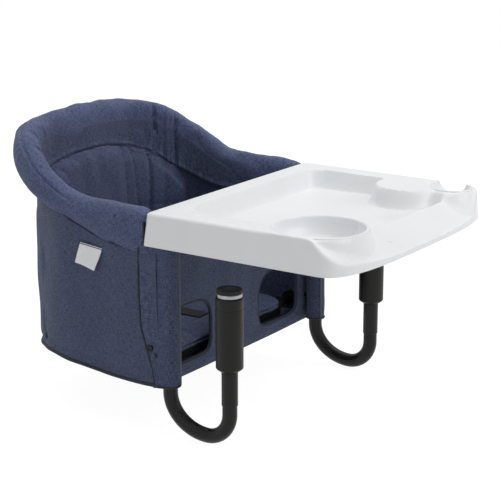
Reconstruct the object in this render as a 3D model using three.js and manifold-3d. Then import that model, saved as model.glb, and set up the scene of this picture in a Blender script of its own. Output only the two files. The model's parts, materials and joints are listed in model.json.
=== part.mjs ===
// Hook on table chair: a cloth child's seat that hangs on a table edge, with a moulded tray,
// two clamps, a folding padded rim and a folding seat base.
// Millimetres. X runs across the chair, the child's right at -X. The child faces -Y, towards the
// table. Z is up. The origin lies on the table top, midway between the two posts.
import * as THREE from "three";
import { mergeVertices } from "three/addons/utils/BufferGeometryUtils.js";
import Module from "manifold-3d";

const wasm = await Module();
wasm.setup();

// Driving dimensions of the whole chair.
const tableThickness = 41;
const postSpacing = 352;
const postToTable = 13;
const gap = 0.3;
const cutOverrun = 2;
const weld = 0.0001;

// Tubes and posts.
const tubeRadius = 9.5;
const tubeWall = 1.5;
const plugSlack = 0.8;
const plugLength = 28;
const postWall = 1.3;
const postBottom = -178;
const sleeveWall = 1.1;
const sleeveBottom = -184;

// Upper arms, which lie on the table under the tray.
const armToBowl = 4.5;
const gripWall = 2.7;
const gripFoot = 20;
const gripInset = 8;
const gripBack = -22;
const gripDrop = 0.5;
const capThickness = 3;
const elbowHalfWidth = 9.5;
const elbowBack = 12.7;
const elbowRise = 13;
const elbowPlugDepth = 45;

// Clamp tubes, which hook under the table.
const clampReach = 92;
const clampDepth = 240;
const rearLegTop = -60;
const rearBendTop = -193;
const rearBendLength = 57;
const frontBendRadius = 35;
const frontLegTop = -101;
const coverWall = 0.4;
const coverAboveBend = 13;
const nutLength = 24;
const nutFlange = 2;
const screwRadius = 5.7;
const screwBottom = -140;

// Knobs and pads.
const knobRadius = 17.3;
const knobBottom = -147;
const knobTop = -51;
const knobWeb = 3.6;
const knobSlack = 0.6;
const knobChamferWide = 6;
const knobChamferHigh = 4;
const padPlateThickness = 4.7;
const padRubberThickness = 4.7;
const padPlateRadius = 16;

// Lock buttons at the foot of each sleeve.
const buttonHeight = -143;
const buttonTurn = 133;
const buttonHeadRadius = 4.6;
const buttonHeadThickness = 4;
const buttonReach = 20.5;
const buttonStemRadius = 2.6;
const buttonSpringRadius = 4.1;
const buttonSpringWall = 0.9;
const slotHalfHeight = 3.4;
const swingAngle = 90;
const eyeletRadius = 4.5;
const eyeletHole = 2.5;
const eyeletThickness = 1.2;
const eyeletY = 20;
const eyeletHeight = -134;

// Rim hoop and its hinges.
const pivotY = 62;
const pivotHeight = 12;
const rimBack = 288;
const rimCorner = 106;
const rimRise = 88;
const riseStart = 34;
const riseLength = 220;
const rimTubeStart = 16;
const rimPadStart = 36;
const padHalfThickness = 16.5;
const padHalfHeightSide = 33;
const padHalfHeightCorner = 20;
const padHalfHeightBack = 29;
const padNarrowAt = 110;
const padWideAt = 240;
const padBoreGap = 1.6;
const knuckleRadius = 13;
const cheekThickness = 4.1;
const bracketDisc = 18;
const bracketNeck = 27.5;
const bracketNeckHalf = 9;
const bracketNeckTop = 26;
const bracketBottom = -16;
const bracketSlotStart = 34;
const pinRadius = 4;

// Cloth walls and front.
const wallThickness = 4;
const wallBeyondPost = 12;
const wallFront = 9;
const wallBottom = -185;
const wallBackInset = 12;
const wallCorner = 132;
const wallTopGap = 0.8;
const backPadFull = 16;
const backPadEdge = 2;
const panelY = 20;
const panelThickness = 4;
const panelNotchWidth = 14;
const panelNotchTop = -149;
const legInner = 56;
const legOuterMargin = 27;
const legTop = -95;
const legBottom = -176;
const legTopRadius = 30;
const legBottomRadius = 12;
const tagWidth = 34;
const tagHeight = 30;
const tagFront = 97;
const tagTop = -12;
const tagThickness = 1.2;

// Folding seat base.
const baseY = 45;
const baseHeight = -163;
const crossRadius = 6;
const crossBeyondPost = 5;
const bracketTabThickness = 5;
const bracketTabHalf = 11;
const rollRadius = 9;
const rollInset = 2;
const hingeWebHalf = 4;
const hingeFlangeLength = 36;
const hingeFlangeThickness = 3;
const hingeFlangeTop = -176.7;
const boardThickness = 4;
const boardFront = 50;
const boardInset = 3;
const seatToPost = 28;
const seatFront = 26.5;
const seatToWall = 28;
const seatBackFlatHalf = 58;
const seatFrontCorner = 14;
const seatTop = -150;

// Harness.
const strapWidth = 25;
const strapThickness = 1.5;
const waistInset = 22;
const waistDrop = 2.4;
const buckleY = 150;
const buckleWidth = 50;
const buckleLength = 36;
const buckleThickness = 10;
const buckleBevel = 2;
const buckleButtonWidth = 18;
const buckleButtonLength = 13;
const buckleButtonDepth = 6;
const buckleButtonProud = 1.5;
const crotchFront = 72;

// Tray.
const trayTop = 41;
const trayRear = 25;
const trayDepth = 295;
const trayBeyondPost = 10;
const trayFlare = 9;
const trayShoulderDepth = 42;
const trayCornerRear = 18;
const trayEdgeInset = 5;
const trayEdgeDrop = 6;
const trayWall = 3;
const slopeLength = 57;
const slopeFrontHeight = 3;
const panBowlSideMargin = 36;
const panCupSideMargin = 31;
const panRearMargin = 28;
const panFrontMargin = 40;
const panCorner = 45;
const panFloor = 16;
const panDraft = 9;
const bowlSideInset = 60;
const bowlFrontInset = 80;
const bowlRadius = 56;
const bowlFloor = 14;
const bowlDraft = 8;
const dishWall = 3.5;
const bulgeSideInset = 46;
const bulgeFrontInset = 105;
const bulgeRadius = 42;
const cupSideInset = 28;
const cupFrontInset = 48;
const cupRadius = 25;
const cupFloor = 14;
const scoopRadius = 22;
const scoopHeight = 48;
const clipHalfWidth = 7;
const clipLength = 20;
const clipY = -70;
const clipLift = 0.3;

// Counts and angles that carry no size.
const tubeSides = 10;
const padSides = 12;
const roundSides = 20;
const dishSides = 28;
const bendSteps = 8;
const hoopSteps = 12;
const capShares = [[0.94, 0], [1, 0.3], [0.97, 0.62], [0.85, 0.87], [0.55, 0.97], [0.2, 1]];
const backLevelShares = [0.03, 0.12, 0.3, 0.5, 0.7, 0.88, 0.97];
const wallLevelShares = [0, 0.5, 1];
const steepestRiseShare = 1.5;
const squareSectionShare = 0.6;
const backCrownShare = 0.6;
const buttonDomeShare = 0.7;
const trayBowShare = 0.62;
const trayShoulderShare = 0.99;

// Sizes that follow from the ones above.
const postX = postSpacing / 2;
const tubeBore = tubeRadius - tubeWall;
const postInner = tubeRadius + gap;
const postRadius = postInner + postWall;
const sleeveInner = postRadius + gap;
const sleeveRadius = sleeveInner + sleeveWall;
const armHeight = gripDrop + gripWall + gap + tubeRadius;
const elbowFront = gripDrop - postToTable;
const boreOfGrip = tubeRadius + gap;
const gripRadius = boreOfGrip + gripWall;
const padTop = -tableThickness;
const legX = -clampReach;
const coverBottom = frontBendRadius - clampDepth + coverAboveBend;

const wallHalfWidth = postX + wallBeyondPost;
const wallOuterX = wallHalfWidth + wallThickness / 2;
const wallBack = rimBack - wallBackInset;
const panelHalfWidth = wallHalfWidth - wallThickness;
const panelNotchHalf = panelHalfWidth - panelNotchWidth;
const panelTop = bracketBottom - gap;
const legOuter = panelHalfWidth - legOuterMargin;
const crossHalfLength = postX + crossBeyondPost;
const seatHalfWidth = postX - seatToPost;
const seatBack = wallBack - seatToWall;
const rollHalfLength = seatHalfWidth - rollInset;
const boardHalfWidth = seatHalfWidth - boardInset;
const seatCorner = seatHalfWidth - seatBackFlatHalf;
const waistReach = seatHalfWidth - waistInset;

const trayHalfWidth = postX + trayBeyondPost;
const trayFront = trayRear - trayDepth;
const traySideFront = trayFront + trayShoulderDepth;
const slopeStart = trayFront + slopeLength;
const panLeft = panBowlSideMargin - trayHalfWidth;
const panRight = trayHalfWidth - panCupSideMargin;
const panRear = trayRear - panRearMargin;
const panFront = trayFront + panFrontMargin;
const bowlX = bowlSideInset - trayHalfWidth;
const bowlY = trayFront + bowlFrontInset;
const bulgeX = trayHalfWidth - bulgeSideInset;
const bulgeY = trayFront + bulgeFrontInset;
const cupX = trayHalfWidth - cupSideInset;
const cupY = trayFront + cupFrontInset;
const armTip = bowlY + bowlRadius + dishWall + armToBowl;
const gripFront = armTip + gripInset;

const degrees = THREE.MathUtils.degToRad;
const smooth = (share) => THREE.MathUtils.smoothstep(share, 0, 1);
const spot = (x, y, z) => new THREE.Vector3(x, y, z);

// Materials.
const cloth = () => new THREE.MeshStandardMaterial({ color: 0x3a4660, roughness: 0.95, metalness: 0 });
const binding = () => new THREE.MeshStandardMaterial({ color: 0x272c38, roughness: 0.9, metalness: 0 });
const lining = () => new THREE.MeshStandardMaterial({ color: 0x465372, roughness: 0.95, metalness: 0 });
const blackTube = () => new THREE.MeshStandardMaterial({ color: 0x1b1c1f, roughness: 0.35, metalness: 0.6 });
const blackPlastic = () => new THREE.MeshStandardMaterial({ color: 0x202124, roughness: 0.5, metalness: 0 });
const rubber = () => new THREE.MeshStandardMaterial({ color: 0x151515, roughness: 0.85, metalness: 0 });
const steel = () => new THREE.MeshStandardMaterial({ color: 0x9a9da2, roughness: 0.3, metalness: 1 });
const whitePlastic = () => new THREE.MeshStandardMaterial({ color: 0xe9ecee, roughness: 0.25, metalness: 0 });
const whiteCloth = () => new THREE.MeshStandardMaterial({ color: 0xf2f2f0, roughness: 0.9, metalness: 0 });
const board = () => new THREE.MeshStandardMaterial({ color: 0x8a6b48, roughness: 0.8, metalness: 0 });

// Shared vertices with positions only, without triangles that have shrunk to a line.
function bare(geometry) {
  const plain = geometry.clone();
  plain.deleteAttribute("normal");
  plain.deleteAttribute("uv");
  const merged = mergeVertices(plain, weld);
  const kept = [];
  for (let corner = 0; corner < merged.index.count; corner += 3) {
    const [a, b, c] = [0, 1, 2].map((step) => merged.index.getX(corner + step));
    if (a !== b && b !== c && c !== a) kept.push(a, b, c);
  }
  merged.setIndex(kept);
  return merged;
}

// Turns the faces outward where the enclosed volume comes out negative.
function outward(geometry) {
  const { position } = geometry.attributes;
  const order = Array.from(geometry.index.array);
  const corners = [spot(0, 0, 0), spot(0, 0, 0), spot(0, 0, 0)];
  let volume = 0;
  for (let face = 0; face < order.length; face += 3) {
    corners.forEach((corner, step) => corner.fromBufferAttribute(position, order[face + step]));
    volume += corners[0].dot(corners[1].clone().cross(corners[2]));
  }
  if (volume < 0) geometry.setIndex(order.reverse());
  return geometry;
}

// Boolean work on closed meshes.
function toSolid(geometry) {
  const merged = bare(geometry);
  const vertProperties = new Float32Array(merged.attributes.position.array);
  const triVerts = new Uint32Array(merged.index.array);
  return new wasm.Manifold(new wasm.Mesh({ numProp: 3, vertProperties, triVerts }));
}

function toGeometry(solid) {
  const mesh = solid.getMesh();
  const geometry = new THREE.BufferGeometry();
  geometry.setAttribute("position", new THREE.BufferAttribute(mesh.vertProperties, 3));
  geometry.setIndex(new THREE.BufferAttribute(mesh.triVerts, 1));
  return geometry;
}

const joined = (...pieces) => toGeometry(pieces.map(toSolid).reduce((sum, piece) => sum.add(piece)));
const cut = (base, ...tools) => toGeometry(
  tools.map(toSolid).reduce((rest, tool) => rest.subtract(tool), toSolid(base)));

// A closed skin over a row of rings that all have the same number of points.
function ringSkin(rings, looped = false) {
  const count = rings[0].length;
  const places = rings.flat();
  const order = [];
  const last = looped ? rings.length : rings.length - 1;
  for (let ring = 0; ring < last; ring += 1) {
    const here = ring * count;
    const next = ((ring + 1) % rings.length) * count;
    for (let point = 0; point < count; point += 1) {
      const beside = (point + 1) % count;
      order.push(here + point, here + beside, next + beside, here + point, next + beside, next + point);
    }
  }
  if (!looped) {
    for (const [start, turn] of [[0, 0], [(rings.length - 1) * count, 1]]) {
      const middle = spot(0, 0, 0);
      places.slice(start, start + count).forEach((place) => middle.add(place));
      const centre = places.push(middle.divideScalar(count)) - 1;
      for (let point = 0; point < count; point += 1) {
        const [from, to] = [start + point, start + (point + 1) % count];
        order.push(centre, turn ? from : to, turn ? to : from);
      }
    }
  }
  const geometry = new THREE.BufferGeometry().setFromPoints(places);
  geometry.setIndex(order);
  return outward(geometry);
}

// A path through a list of nodes, with a section square to it at each node.
class NodePath extends THREE.Curve {
  constructor(nodes) {
    super();
    this.nodes = nodes;
  }

  getPoint(share) {
    const place = share * (this.nodes.length - 1);
    const index = Math.min(Math.floor(place), this.nodes.length - 2);
    return this.nodes[index].clone().lerp(this.nodes[index + 1], place - index);
  }

  getPointAt(share) {
    return this.getPoint(share);
  }

  getTangentAt(share) {
    const last = this.nodes.length - 1;
    const place = Math.round(share * last);
    const before = this.nodes[Math.max(place - 1, 0)];
    const after = this.nodes[Math.min(place + 1, last)];
    return after.clone().sub(before).normalize();
  }
}

function circle(radius, sides = tubeSides) {
  const points = [];
  for (let step = 0; step < sides; step += 1) {
    const angle = (step / sides) * Math.PI * 2;
    points.push(new THREE.Vector2(radius * Math.cos(angle), radius * Math.sin(angle)));
  }
  return points;
}

function tube(nodes, outer, inner) {
  const section = new THREE.Shape(circle(outer));
  section.holes.push(new THREE.Path(circle(inner)));
  const path = { steps: nodes.length - 1, extrudePath: new NodePath(nodes) };
  return outward(bare(new THREE.ExtrudeGeometry(section, path)));
}

// A solid turned about the Z axis from a profile of radius and height.
function turned(profile, sides = roundSides) {
  const points = profile.map(([radius, height]) => new THREE.Vector2(radius, height));
  return outward(bare(new THREE.LatheGeometry(points, sides).rotateX(Math.PI / 2)));
}

function pipe(inner, outer, bottom, top, sides = roundSides) {
  return turned([[inner, bottom], [outer, bottom], [outer, top], [inner, top], [inner, bottom]], sides);
}

function rod(radius, bottom, top, sides = roundSides) {
  return turned([[0, bottom], [radius, bottom], [radius, top], [0, top]], sides);
}

// Lays a piece made along Z along the X or the Y axis.
const alongX = (geometry) => geometry.rotateY(Math.PI / 2);
const alongY = (geometry) => geometry.rotateX(-Math.PI / 2);

function block(xs, ys, zs) {
  const [wide, long, high] = [xs, ys, zs].map(([low, top]) => top - low);
  const middle = [xs, ys, zs].map(([low, top]) => (low + top) / 2);
  return new THREE.BoxGeometry(wide, long, high).translate(...middle);
}

// An outline in the YZ plane, drawn out along X between two places.
function slabAlongX(outline, from, to) {
  const turn = new THREE.Matrix4().makeBasis(spot(0, 1, 0), spot(0, 0, 1), spot(1, 0, 0));
  const geometry = new THREE.ExtrudeGeometry(outline, { depth: to - from, bevelEnabled: false });
  return bare(geometry.applyMatrix4(turn).translate(from, 0, 0));
}

// An outline in the XZ plane, drawn out along Y between two places.
function slabAlongY(outline, from, to) {
  const geometry = new THREE.ExtrudeGeometry(outline, { depth: to - from, bevelEnabled: false });
  return bare(geometry.rotateX(Math.PI / 2).translate(0, to, 0));
}

// Posts, elbows and upper arms.
function postTube() {
  const hole = buttonHole(buttonStemRadius + gap);
  return cut(pipe(postInner, postRadius, postBottom, -gap), hole);
}

function sleeve() {
  const slitHalf = bracketTabThickness / 2 + gap;
  const slitTop = baseHeight + bracketTabHalf + gap;
  const [behind, below] = [sleeveRadius + cutOverrun, sleeveBottom - cutOverrun];
  const slit = block([-slitHalf, slitHalf], [0, behind], [below, slitTop]);
  const hole = buttonHole(buttonSpringRadius + gap);
  return cut(pipe(sleeveInner, sleeveRadius, sleeveBottom, -gap), slit, hole);
}

function elbow() {
  const body = block([-elbowHalfWidth, elbowHalfWidth], [elbowFront, elbowBack], [0, armHeight + elbowRise]);
  const plugDown = rod(tubeRadius, -elbowPlugDepth, cutOverrun);
  const plugAhead = alongY(rod(tubeBore - plugSlack, elbowFront - plugLength, 0));
  return joined(body, plugDown, plugAhead.translate(0, 0, armHeight));
}

function upperArm() {
  return alongY(pipe(tubeBore, tubeRadius, armTip, elbowFront - gap)).translate(0, 0, armHeight);
}

function grip() {
  const outline = new THREE.Shape();
  const edge = degrees(-40);
  outline.moveTo(-gripFoot / 2, 0);
  outline.lineTo(gripFoot / 2, 0);
  outline.absarc(0, armHeight, gripRadius, edge, Math.PI - edge, false);
  const bore = circle(boreOfGrip, roundSides);
  outline.holes.push(new THREE.Path(bore.map(({ x, y }) => new THREE.Vector2(x, y + armHeight))));
  return slabAlongY(outline, gripFront, gripBack);
}

function armCap() {
  const plug = tubeBore - plugSlack;
  const body = turned([
    [0, -capThickness], [tubeRadius, -capThickness], [tubeRadius, 0],
    [plug, 0], [plug, plugLength / 2], [0, plugLength / 2],
  ]);
  return alongY(body).translate(0, armTip - gap, armHeight);
}

// The tube of one clamp: down in the post, round under the table and up to the nut.
function clampTube() {
  const nodes = [spot(0, 0, rearLegTop)];
  const dropRear = clampDepth + rearBendTop;
  for (let step = 0; step <= bendSteps; step += 1) {
    const angle = (step / bendSteps) * Math.PI / 2;
    const y = -rearBendLength * (1 - Math.cos(angle));
    nodes.push(spot(0, y, rearBendTop - dropRear * Math.sin(angle)));
  }
  for (let step = bendSteps - 1; step >= 0; step -= 1) {
    const angle = (step / bendSteps) * Math.PI / 2;
    const y = legX + frontBendRadius * (1 - Math.cos(angle));
    nodes.push(spot(0, y, frontBendRadius - clampDepth - frontBendRadius * Math.sin(angle)));
  }
  nodes.push(spot(0, legX, frontLegTop));
  return cut(tube(nodes, tubeRadius, tubeBore), lockSlot());
}

// The quarter-turn slot that the lock button's stem runs in. It faces the button along the swing.
function lockSlot() {
  const slot = new THREE.Shape();
  const flat = tubeBore * Math.cos(Math.PI / tubeSides);
  const margin = Math.asin((buttonStemRadius + gap * 2) / flat);
  const [from, to] = [degrees(buttonTurn - swingAngle) - margin, degrees(buttonTurn) + margin];
  slot.moveTo(0, 0);
  slot.lineTo(postRadius * Math.cos(from), postRadius * Math.sin(from));
  slot.absarc(0, 0, postRadius, from, to, false);
  const depth = slotHalfHeight * 2;
  const geometry = new THREE.ExtrudeGeometry(slot, { depth, bevelEnabled: false, curveSegments: bendSteps });
  return bare(geometry.translate(0, 0, buttonHeight - slotHalfHeight));
}

const legCover = () => pipe(tubeRadius + gap, tubeRadius + gap + coverWall, coverBottom, frontLegTop);

function nut() {
  const bore = screwRadius + gap;
  const collar = frontLegTop + gap;
  const plug = pipe(bore, tubeBore - plugSlack, collar - nutLength, collar + gap);
  return joined(plug, pipe(bore, tubeRadius, collar, collar + nutFlange));
}

const screw = () => rod(screwRadius, screwBottom, knobTop);

function knob() {
  const inner = tubeRadius + gap + coverWall + knobSlack;
  const bore = screwRadius + gap;
  const webBottom = knobTop - knobWeb;
  return turned([
    [inner, knobBottom], [knobRadius - knobChamferWide, knobBottom],
    [knobRadius, knobBottom + knobChamferHigh], [knobRadius, knobTop],
    [bore, knobTop], [bore, webBottom], [inner, webBottom], [inner, knobBottom],
  ]);
}

const padPlate = () => rod(padPlateRadius, knobTop + gap, knobTop + gap + padPlateThickness);
const padRubber = () => rod(padPlateRadius, padTop - padRubberThickness, padTop);

// Lock buttons point out of the post at an angle, between sideways and back.
function radial(geometry) {
  return alongX(geometry).rotateZ(degrees(buttonTurn)).translate(0, 0, buttonHeight);
}

const buttonHole = (radius) => radial(rod(radius, 0, buttonReach + cutOverrun));

function lockButton() {
  const under = buttonReach - buttonHeadThickness;
  return radial(turned([
    [0, postInner + gap], [buttonStemRadius, postInner + gap], [buttonStemRadius, under],
    [buttonHeadRadius, under], [buttonHeadRadius, buttonReach - buttonHeadThickness / 2],
    [buttonHeadRadius * buttonDomeShare, buttonReach - gap], [0, buttonReach],
  ]));
}

function buttonSpring() {
  const under = buttonReach - buttonHeadThickness;
  const inner = buttonSpringRadius - buttonSpringWall;
  return radial(pipe(inner, buttonSpringRadius, postRadius + gap, under - gap));
}

function eyelet() {
  const ring = pipe(eyeletHole, eyeletRadius, wallOuterX + gap, wallOuterX + gap + eyeletThickness);
  return alongX(ring).rotateZ(Math.PI).translate(0, eyeletY, eyeletHeight);
}

// The plan of a hoop: a straight side, a round corner and half of the back, each one unit of place.
function hoopPlan(place, { halfWidth, front, back, corner }) {
  const straight = back - corner - front;
  if (place <= 1) return { x: halfWidth, y: front + straight * place, nx: 1, ny: 0 };
  const angle = Math.min(place - 1, 1) * Math.PI / 2;
  const [nx, ny] = [Math.cos(angle), Math.sin(angle)];
  const middle = halfWidth - corner;
  const x = place <= 2 ? middle + corner * nx : middle * (3 - place);
  return { x, y: back - corner + corner * ny, nx, ny };
}

const rimPlan = { halfWidth: postX, front: pivotY, back: rimBack, corner: rimCorner };
const rimStraight = rimBack - rimCorner - pivotY;

// Length along the rim's centre line from its pivot.
function rimTravel(place) {
  const bend = rimCorner * Math.PI / 2;
  if (place <= 1) return place * rimStraight;
  if (place <= 2) return rimStraight + (place - 1) * bend;
  return rimStraight + bend + (place - 2) * (postX - rimCorner);
}

// Length along the rim beside a place on the wall below it.
function travelBeside(x, y) {
  const [across, along] = [x - postX + rimCorner, y - rimBack + rimCorner];
  if (along <= 0) return y - pivotY;
  if (across <= 0) return rimTravel(2) - across;
  return rimStraight + rimCorner * Math.atan2(along, across);
}

const rimHeight = (travel) => pivotHeight + rimRise * smooth((travel - riseStart) / riseLength);

function padHalfHeight(travel) {
  if (travel < padNarrowAt) {
    return THREE.MathUtils.lerp(padHalfHeightSide, padHalfHeightCorner, smooth(travel / padNarrowAt));
  }
  const share = smooth((travel - padNarrowAt) / (padWideAt - padNarrowAt));
  return THREE.MathUtils.lerp(padHalfHeightCorner, padHalfHeightBack, share);
}

// Places round a hoop from the right side's start to the left side's.
function hoopPlaces(start, steps = hoopSteps) {
  const half = [];
  for (let step = 0; step <= steps; step += 1) half.push(start + (3 - start) * (step / steps));
  const right = half.map((place) => ({ side: -1, place }));
  return [...right, ...half.slice(0, -1).reverse().map((place) => ({ side: 1, place }))];
}

// The rim's centre and the section's two directions at one place.
function rimStation({ side, place }) {
  const { x, y, nx, ny } = hoopPlan(place, rimPlan);
  const travel = rimTravel(place);
  return { travel, centre: spot(side * x, y, rimHeight(travel)), out: spot(side * nx, ny, 0) };
}

// The same places round the rim, from a length of travel beyond each pivot.
function rimPlaces(travel) {
  const place = travel / rimStraight;
  const between = hoopPlaces(0).filter((at) => at.place > place);
  return [{ side: -1, place }, ...between, { side: 1, place }];
}

function rimTube() {
  return tube(rimPlaces(rimTubeStart).map((place) => rimStation(place).centre), tubeRadius, tubeBore);
}

// One ring of the rim padding's section, rounder than a box and squarer than an ellipse.
function padRing(station, halfThickness, halfHeight, power) {
  return circle(1, padSides).map(({ x, y }) => {
    const wide = halfThickness * Math.sign(x) * Math.abs(x) ** power;
    const high = halfHeight * Math.sign(y) * Math.abs(y) ** power;
    return station.centre.clone().addScaledVector(station.out, wide).add(spot(0, 0, high));
  });
}

function rimPad() {
  const stations = rimPlaces(rimPadStart).map(rimStation);
  const bore = tubeRadius + padBoreGap;
  const steepest = steepestRiseShare * rimRise / riseLength;
  const boreHeight = bore * Math.hypot(1, steepest);
  const outer = stations.map((at) => (
    padRing(at, padHalfThickness, padHalfHeight(at.travel), squareSectionShare)));
  const inner = stations.map((at) => padRing(at, bore, boreHeight, 1));
  return ringSkin([...outer, ...inner.reverse()], true);
}

// Hinge brackets, pins and knuckles of the rim.
function hingeBracket() {
  const outline = new THREE.Shape();
  const half = tubeRadius + gap + cheekThickness;
  outline.moveTo(elbowBack + gap, bracketBottom);
  outline.lineTo(bracketSlotStart, bracketBottom);
  outline.lineTo(pivotY, pivotHeight - bracketDisc);
  outline.absarc(pivotY, pivotHeight, bracketDisc, -Math.PI / 2, Math.PI / 2, false);
  outline.lineTo(bracketSlotStart, pivotHeight + bracketDisc);
  outline.lineTo(elbowBack + gap, bracketNeckTop);
  const body = slabAlongX(outline, -half, half);
  const neck = [elbowBack, bracketNeck];
  const tall = [bracketBottom - cutOverrun, pivotHeight + bracketDisc + cutOverrun];
  const trims = [-1, 1].map((side) => {
    const edges = [side * bracketNeckHalf, side * (half + cutOverrun)].sort((a, b) => a - b);
    return block(edges, neck, tall);
  });
  const lid = block([-half - cutOverrun, half + cutOverrun], neck, [bracketNeckTop, tall[1]]);
  const slotHalf = tubeRadius + gap;
  const slot = block([-slotHalf, slotHalf], [bracketSlotStart, pivotY + bracketDisc + cutOverrun], tall);
  return cut(body, ...trims, lid, slot, pinAt(pinRadius + gap, half + cutOverrun));
}

const pinAt = (radius, half) => alongX(rod(radius, -half, half)).translate(0, pivotY, pivotHeight);
const hingePin = () => pinAt(pinRadius, tubeRadius + gap + cheekThickness);

function rimKnuckle() {
  const half = tubeRadius - gap;
  const barrel = pinAt(knuckleRadius, half);
  const reach = rimTubeStart + plugLength / 2;
  const plug = alongY(rod(tubeBore - plugSlack, 0, reach)).translate(0, pivotY, pivotHeight);
  return cut(joined(barrel, plug), pinAt(pinRadius + gap, half + cutOverrun));
}

// Cloth wall round both sides and the back. Its top follows the underside of the rim padding.
const wallPlan = { halfWidth: wallHalfWidth, front: wallFront, back: wallBack, corner: wallCorner };

// A point of the wall at a place round the hoop, a share of the height and an offset outward.
function wallPoint({ side, place }, rise, offset) {
  const { x, y, nx, ny } = hoopPlan(place, wallPlan);
  const travel = travelBeside(x, y);
  const top = rimHeight(travel) - padHalfHeight(Math.max(travel, 0)) - wallTopGap;
  const height = THREE.MathUtils.lerp(wallBottom, top, rise);
  return spot(side * (x + nx * offset), y + ny * offset, height);
}

function sidePanel() {
  const half = wallThickness / 2;
  const rings = hoopPlaces(0).map((at) => [
    ...wallLevelShares.map((rise) => wallPoint(at, rise, half)),
    ...wallLevelShares.toReversed().map((rise) => wallPoint(at, rise, -half)),
  ]);
  const holes = [-1, 1].map((side) => {
    const hole = buttonHole(buttonHeadRadius + gap * 2);
    return mirrored(hole, side).translate(side * postX, 0, 0);
  });
  return cut(ringSkin(rings), ...holes);
}

// Padded lining of the back, thin at its edges and thickest half way up.
function backCushion() {
  const start = 4 / 3;
  const face = -(wallThickness / 2 + gap * 2);
  const rings = hoopPlaces(0).filter(({ place }) => place >= start).map((at) => {
    const ends = smooth((at.place - start) / (2 - start));
    const crown = (rise) => ends * Math.sin(Math.PI * rise) ** backCrownShare;
    const depth = (rise) => backPadEdge + (backPadFull - backPadEdge) * crown(rise);
    return [
      ...backLevelShares.map((rise) => wallPoint(at, rise, face)),
      ...backLevelShares.toReversed().map((rise) => wallPoint(at, rise, face - depth(rise))),
    ];
  });
  return ringSkin(rings);
}

// Cloth front with two arched leg openings.
function archPath(left, right) {
  const hole = new THREE.Path();
  const low = legBottomRadius;
  const high = legTopRadius;
  hole.moveTo(left + low, legBottom);
  hole.absarc(right - low, legBottom + low, low, -Math.PI / 2, 0, false);
  hole.absarc(right - high, legTop - high, high, 0, Math.PI / 2, false);
  hole.absarc(left + high, legTop - high, high, Math.PI / 2, Math.PI, false);
  hole.absarc(left + low, legBottom + low, low, Math.PI, Math.PI * 1.5, false);
  return hole;
}

function frontPanel() {
  const outline = new THREE.Shape();
  outline.moveTo(-panelNotchHalf, sleeveBottom);
  outline.lineTo(panelNotchHalf, sleeveBottom);
  outline.lineTo(panelNotchHalf, panelNotchTop);
  outline.lineTo(panelHalfWidth, panelNotchTop);
  outline.lineTo(panelHalfWidth, panelTop);
  outline.lineTo(-panelHalfWidth, panelTop);
  outline.lineTo(-panelHalfWidth, panelNotchTop);
  outline.lineTo(-panelNotchHalf, panelNotchTop);
  outline.holes.push(archPath(legInner, legOuter), archPath(-legOuter, -legInner));
  return slabAlongY(outline, panelY, panelY + panelThickness);
}

function labelTag() {
  const out = -wallOuterX - gap;
  const low = tagTop - tagHeight;
  return block([out - tagThickness, out], [tagFront, tagFront + tagWidth], [low, tagTop]);
}

// Folding seat base, its hinge and the brackets on the posts.
function lowerBracket() {
  const outline = new THREE.Shape();
  outline.moveTo(sleeveInner, baseHeight - bracketTabHalf);
  outline.absarc(baseY, baseHeight, bracketTabHalf, -Math.PI / 2, Math.PI / 2, false);
  outline.lineTo(sleeveInner, baseHeight + bracketTabHalf);
  const eye = circle(crossRadius + gap, roundSides);
  outline.holes.push(new THREE.Path(eye.map(({ x, y }) => new THREE.Vector2(x + baseY, y + baseHeight))));
  return slabAlongX(outline, -bracketTabThickness / 2, bracketTabThickness / 2);
}

const crossRod = (radius, half) => alongX(rod(radius, -half, half)).translate(0, baseY, baseHeight);
const crossTube = () => crossRod(crossRadius, crossHalfLength);

function webBlock(grow) {
  const half = hingeWebHalf + grow;
  return block([-rollHalfLength - grow, rollHalfLength + grow], [baseY - half, baseY + half],
    [hingeFlangeTop - hingeFlangeThickness, baseHeight]);
}

function baseHinge() {
  const flange = block([-rollHalfLength, rollHalfLength], [baseY - hingeWebHalf, baseY + hingeFlangeLength],
    [hingeFlangeTop - hingeFlangeThickness, hingeFlangeTop]);
  const roll = joined(crossRod(rollRadius, rollHalfLength), webBlock(0), flange);
  return cut(roll, crossRod(crossRadius + gap, rollHalfLength + cutOverrun));
}

// Half-round plan of the seat: straight front, sides and a deeply rounded back.
function seatPlan(halfWidth, front, back, corner, share = 1) {
  const outline = new THREE.Shape();
  const nose = seatFrontCorner;
  outline.moveTo(-halfWidth + nose, front);
  outline.absarc(halfWidth - nose, front + nose, nose, -Math.PI / 2, 0, false);
  outline.absarc(halfWidth - corner, back - corner, corner, 0, Math.PI / 2, false);
  outline.absarc(corner - halfWidth, back - corner, corner, Math.PI / 2, Math.PI, false);
  outline.absarc(nose - halfWidth, front + nose, nose, Math.PI, Math.PI * 1.5, false);
  const middle = (front + back) / 2;
  const points = outline.getPoints(bendSteps).slice(0, -1);
  return points.map(({ x, y }) => new THREE.Vector2(x * share, middle + (y - middle) * share));
}

const boardBottom = hingeFlangeTop + gap;
const seatBottom = boardBottom + boardThickness + gap;

function baseBoard() {
  const shrink = seatHalfWidth - boardHalfWidth;
  const [back, corner] = [seatBack - shrink, seatCorner - shrink];
  const outline = new THREE.Shape(seatPlan(boardHalfWidth, boardFront, back, corner));
  const plate = new THREE.ExtrudeGeometry(outline, { depth: boardThickness, bevelEnabled: false });
  return bare(plate.translate(0, 0, boardBottom));
}

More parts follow.
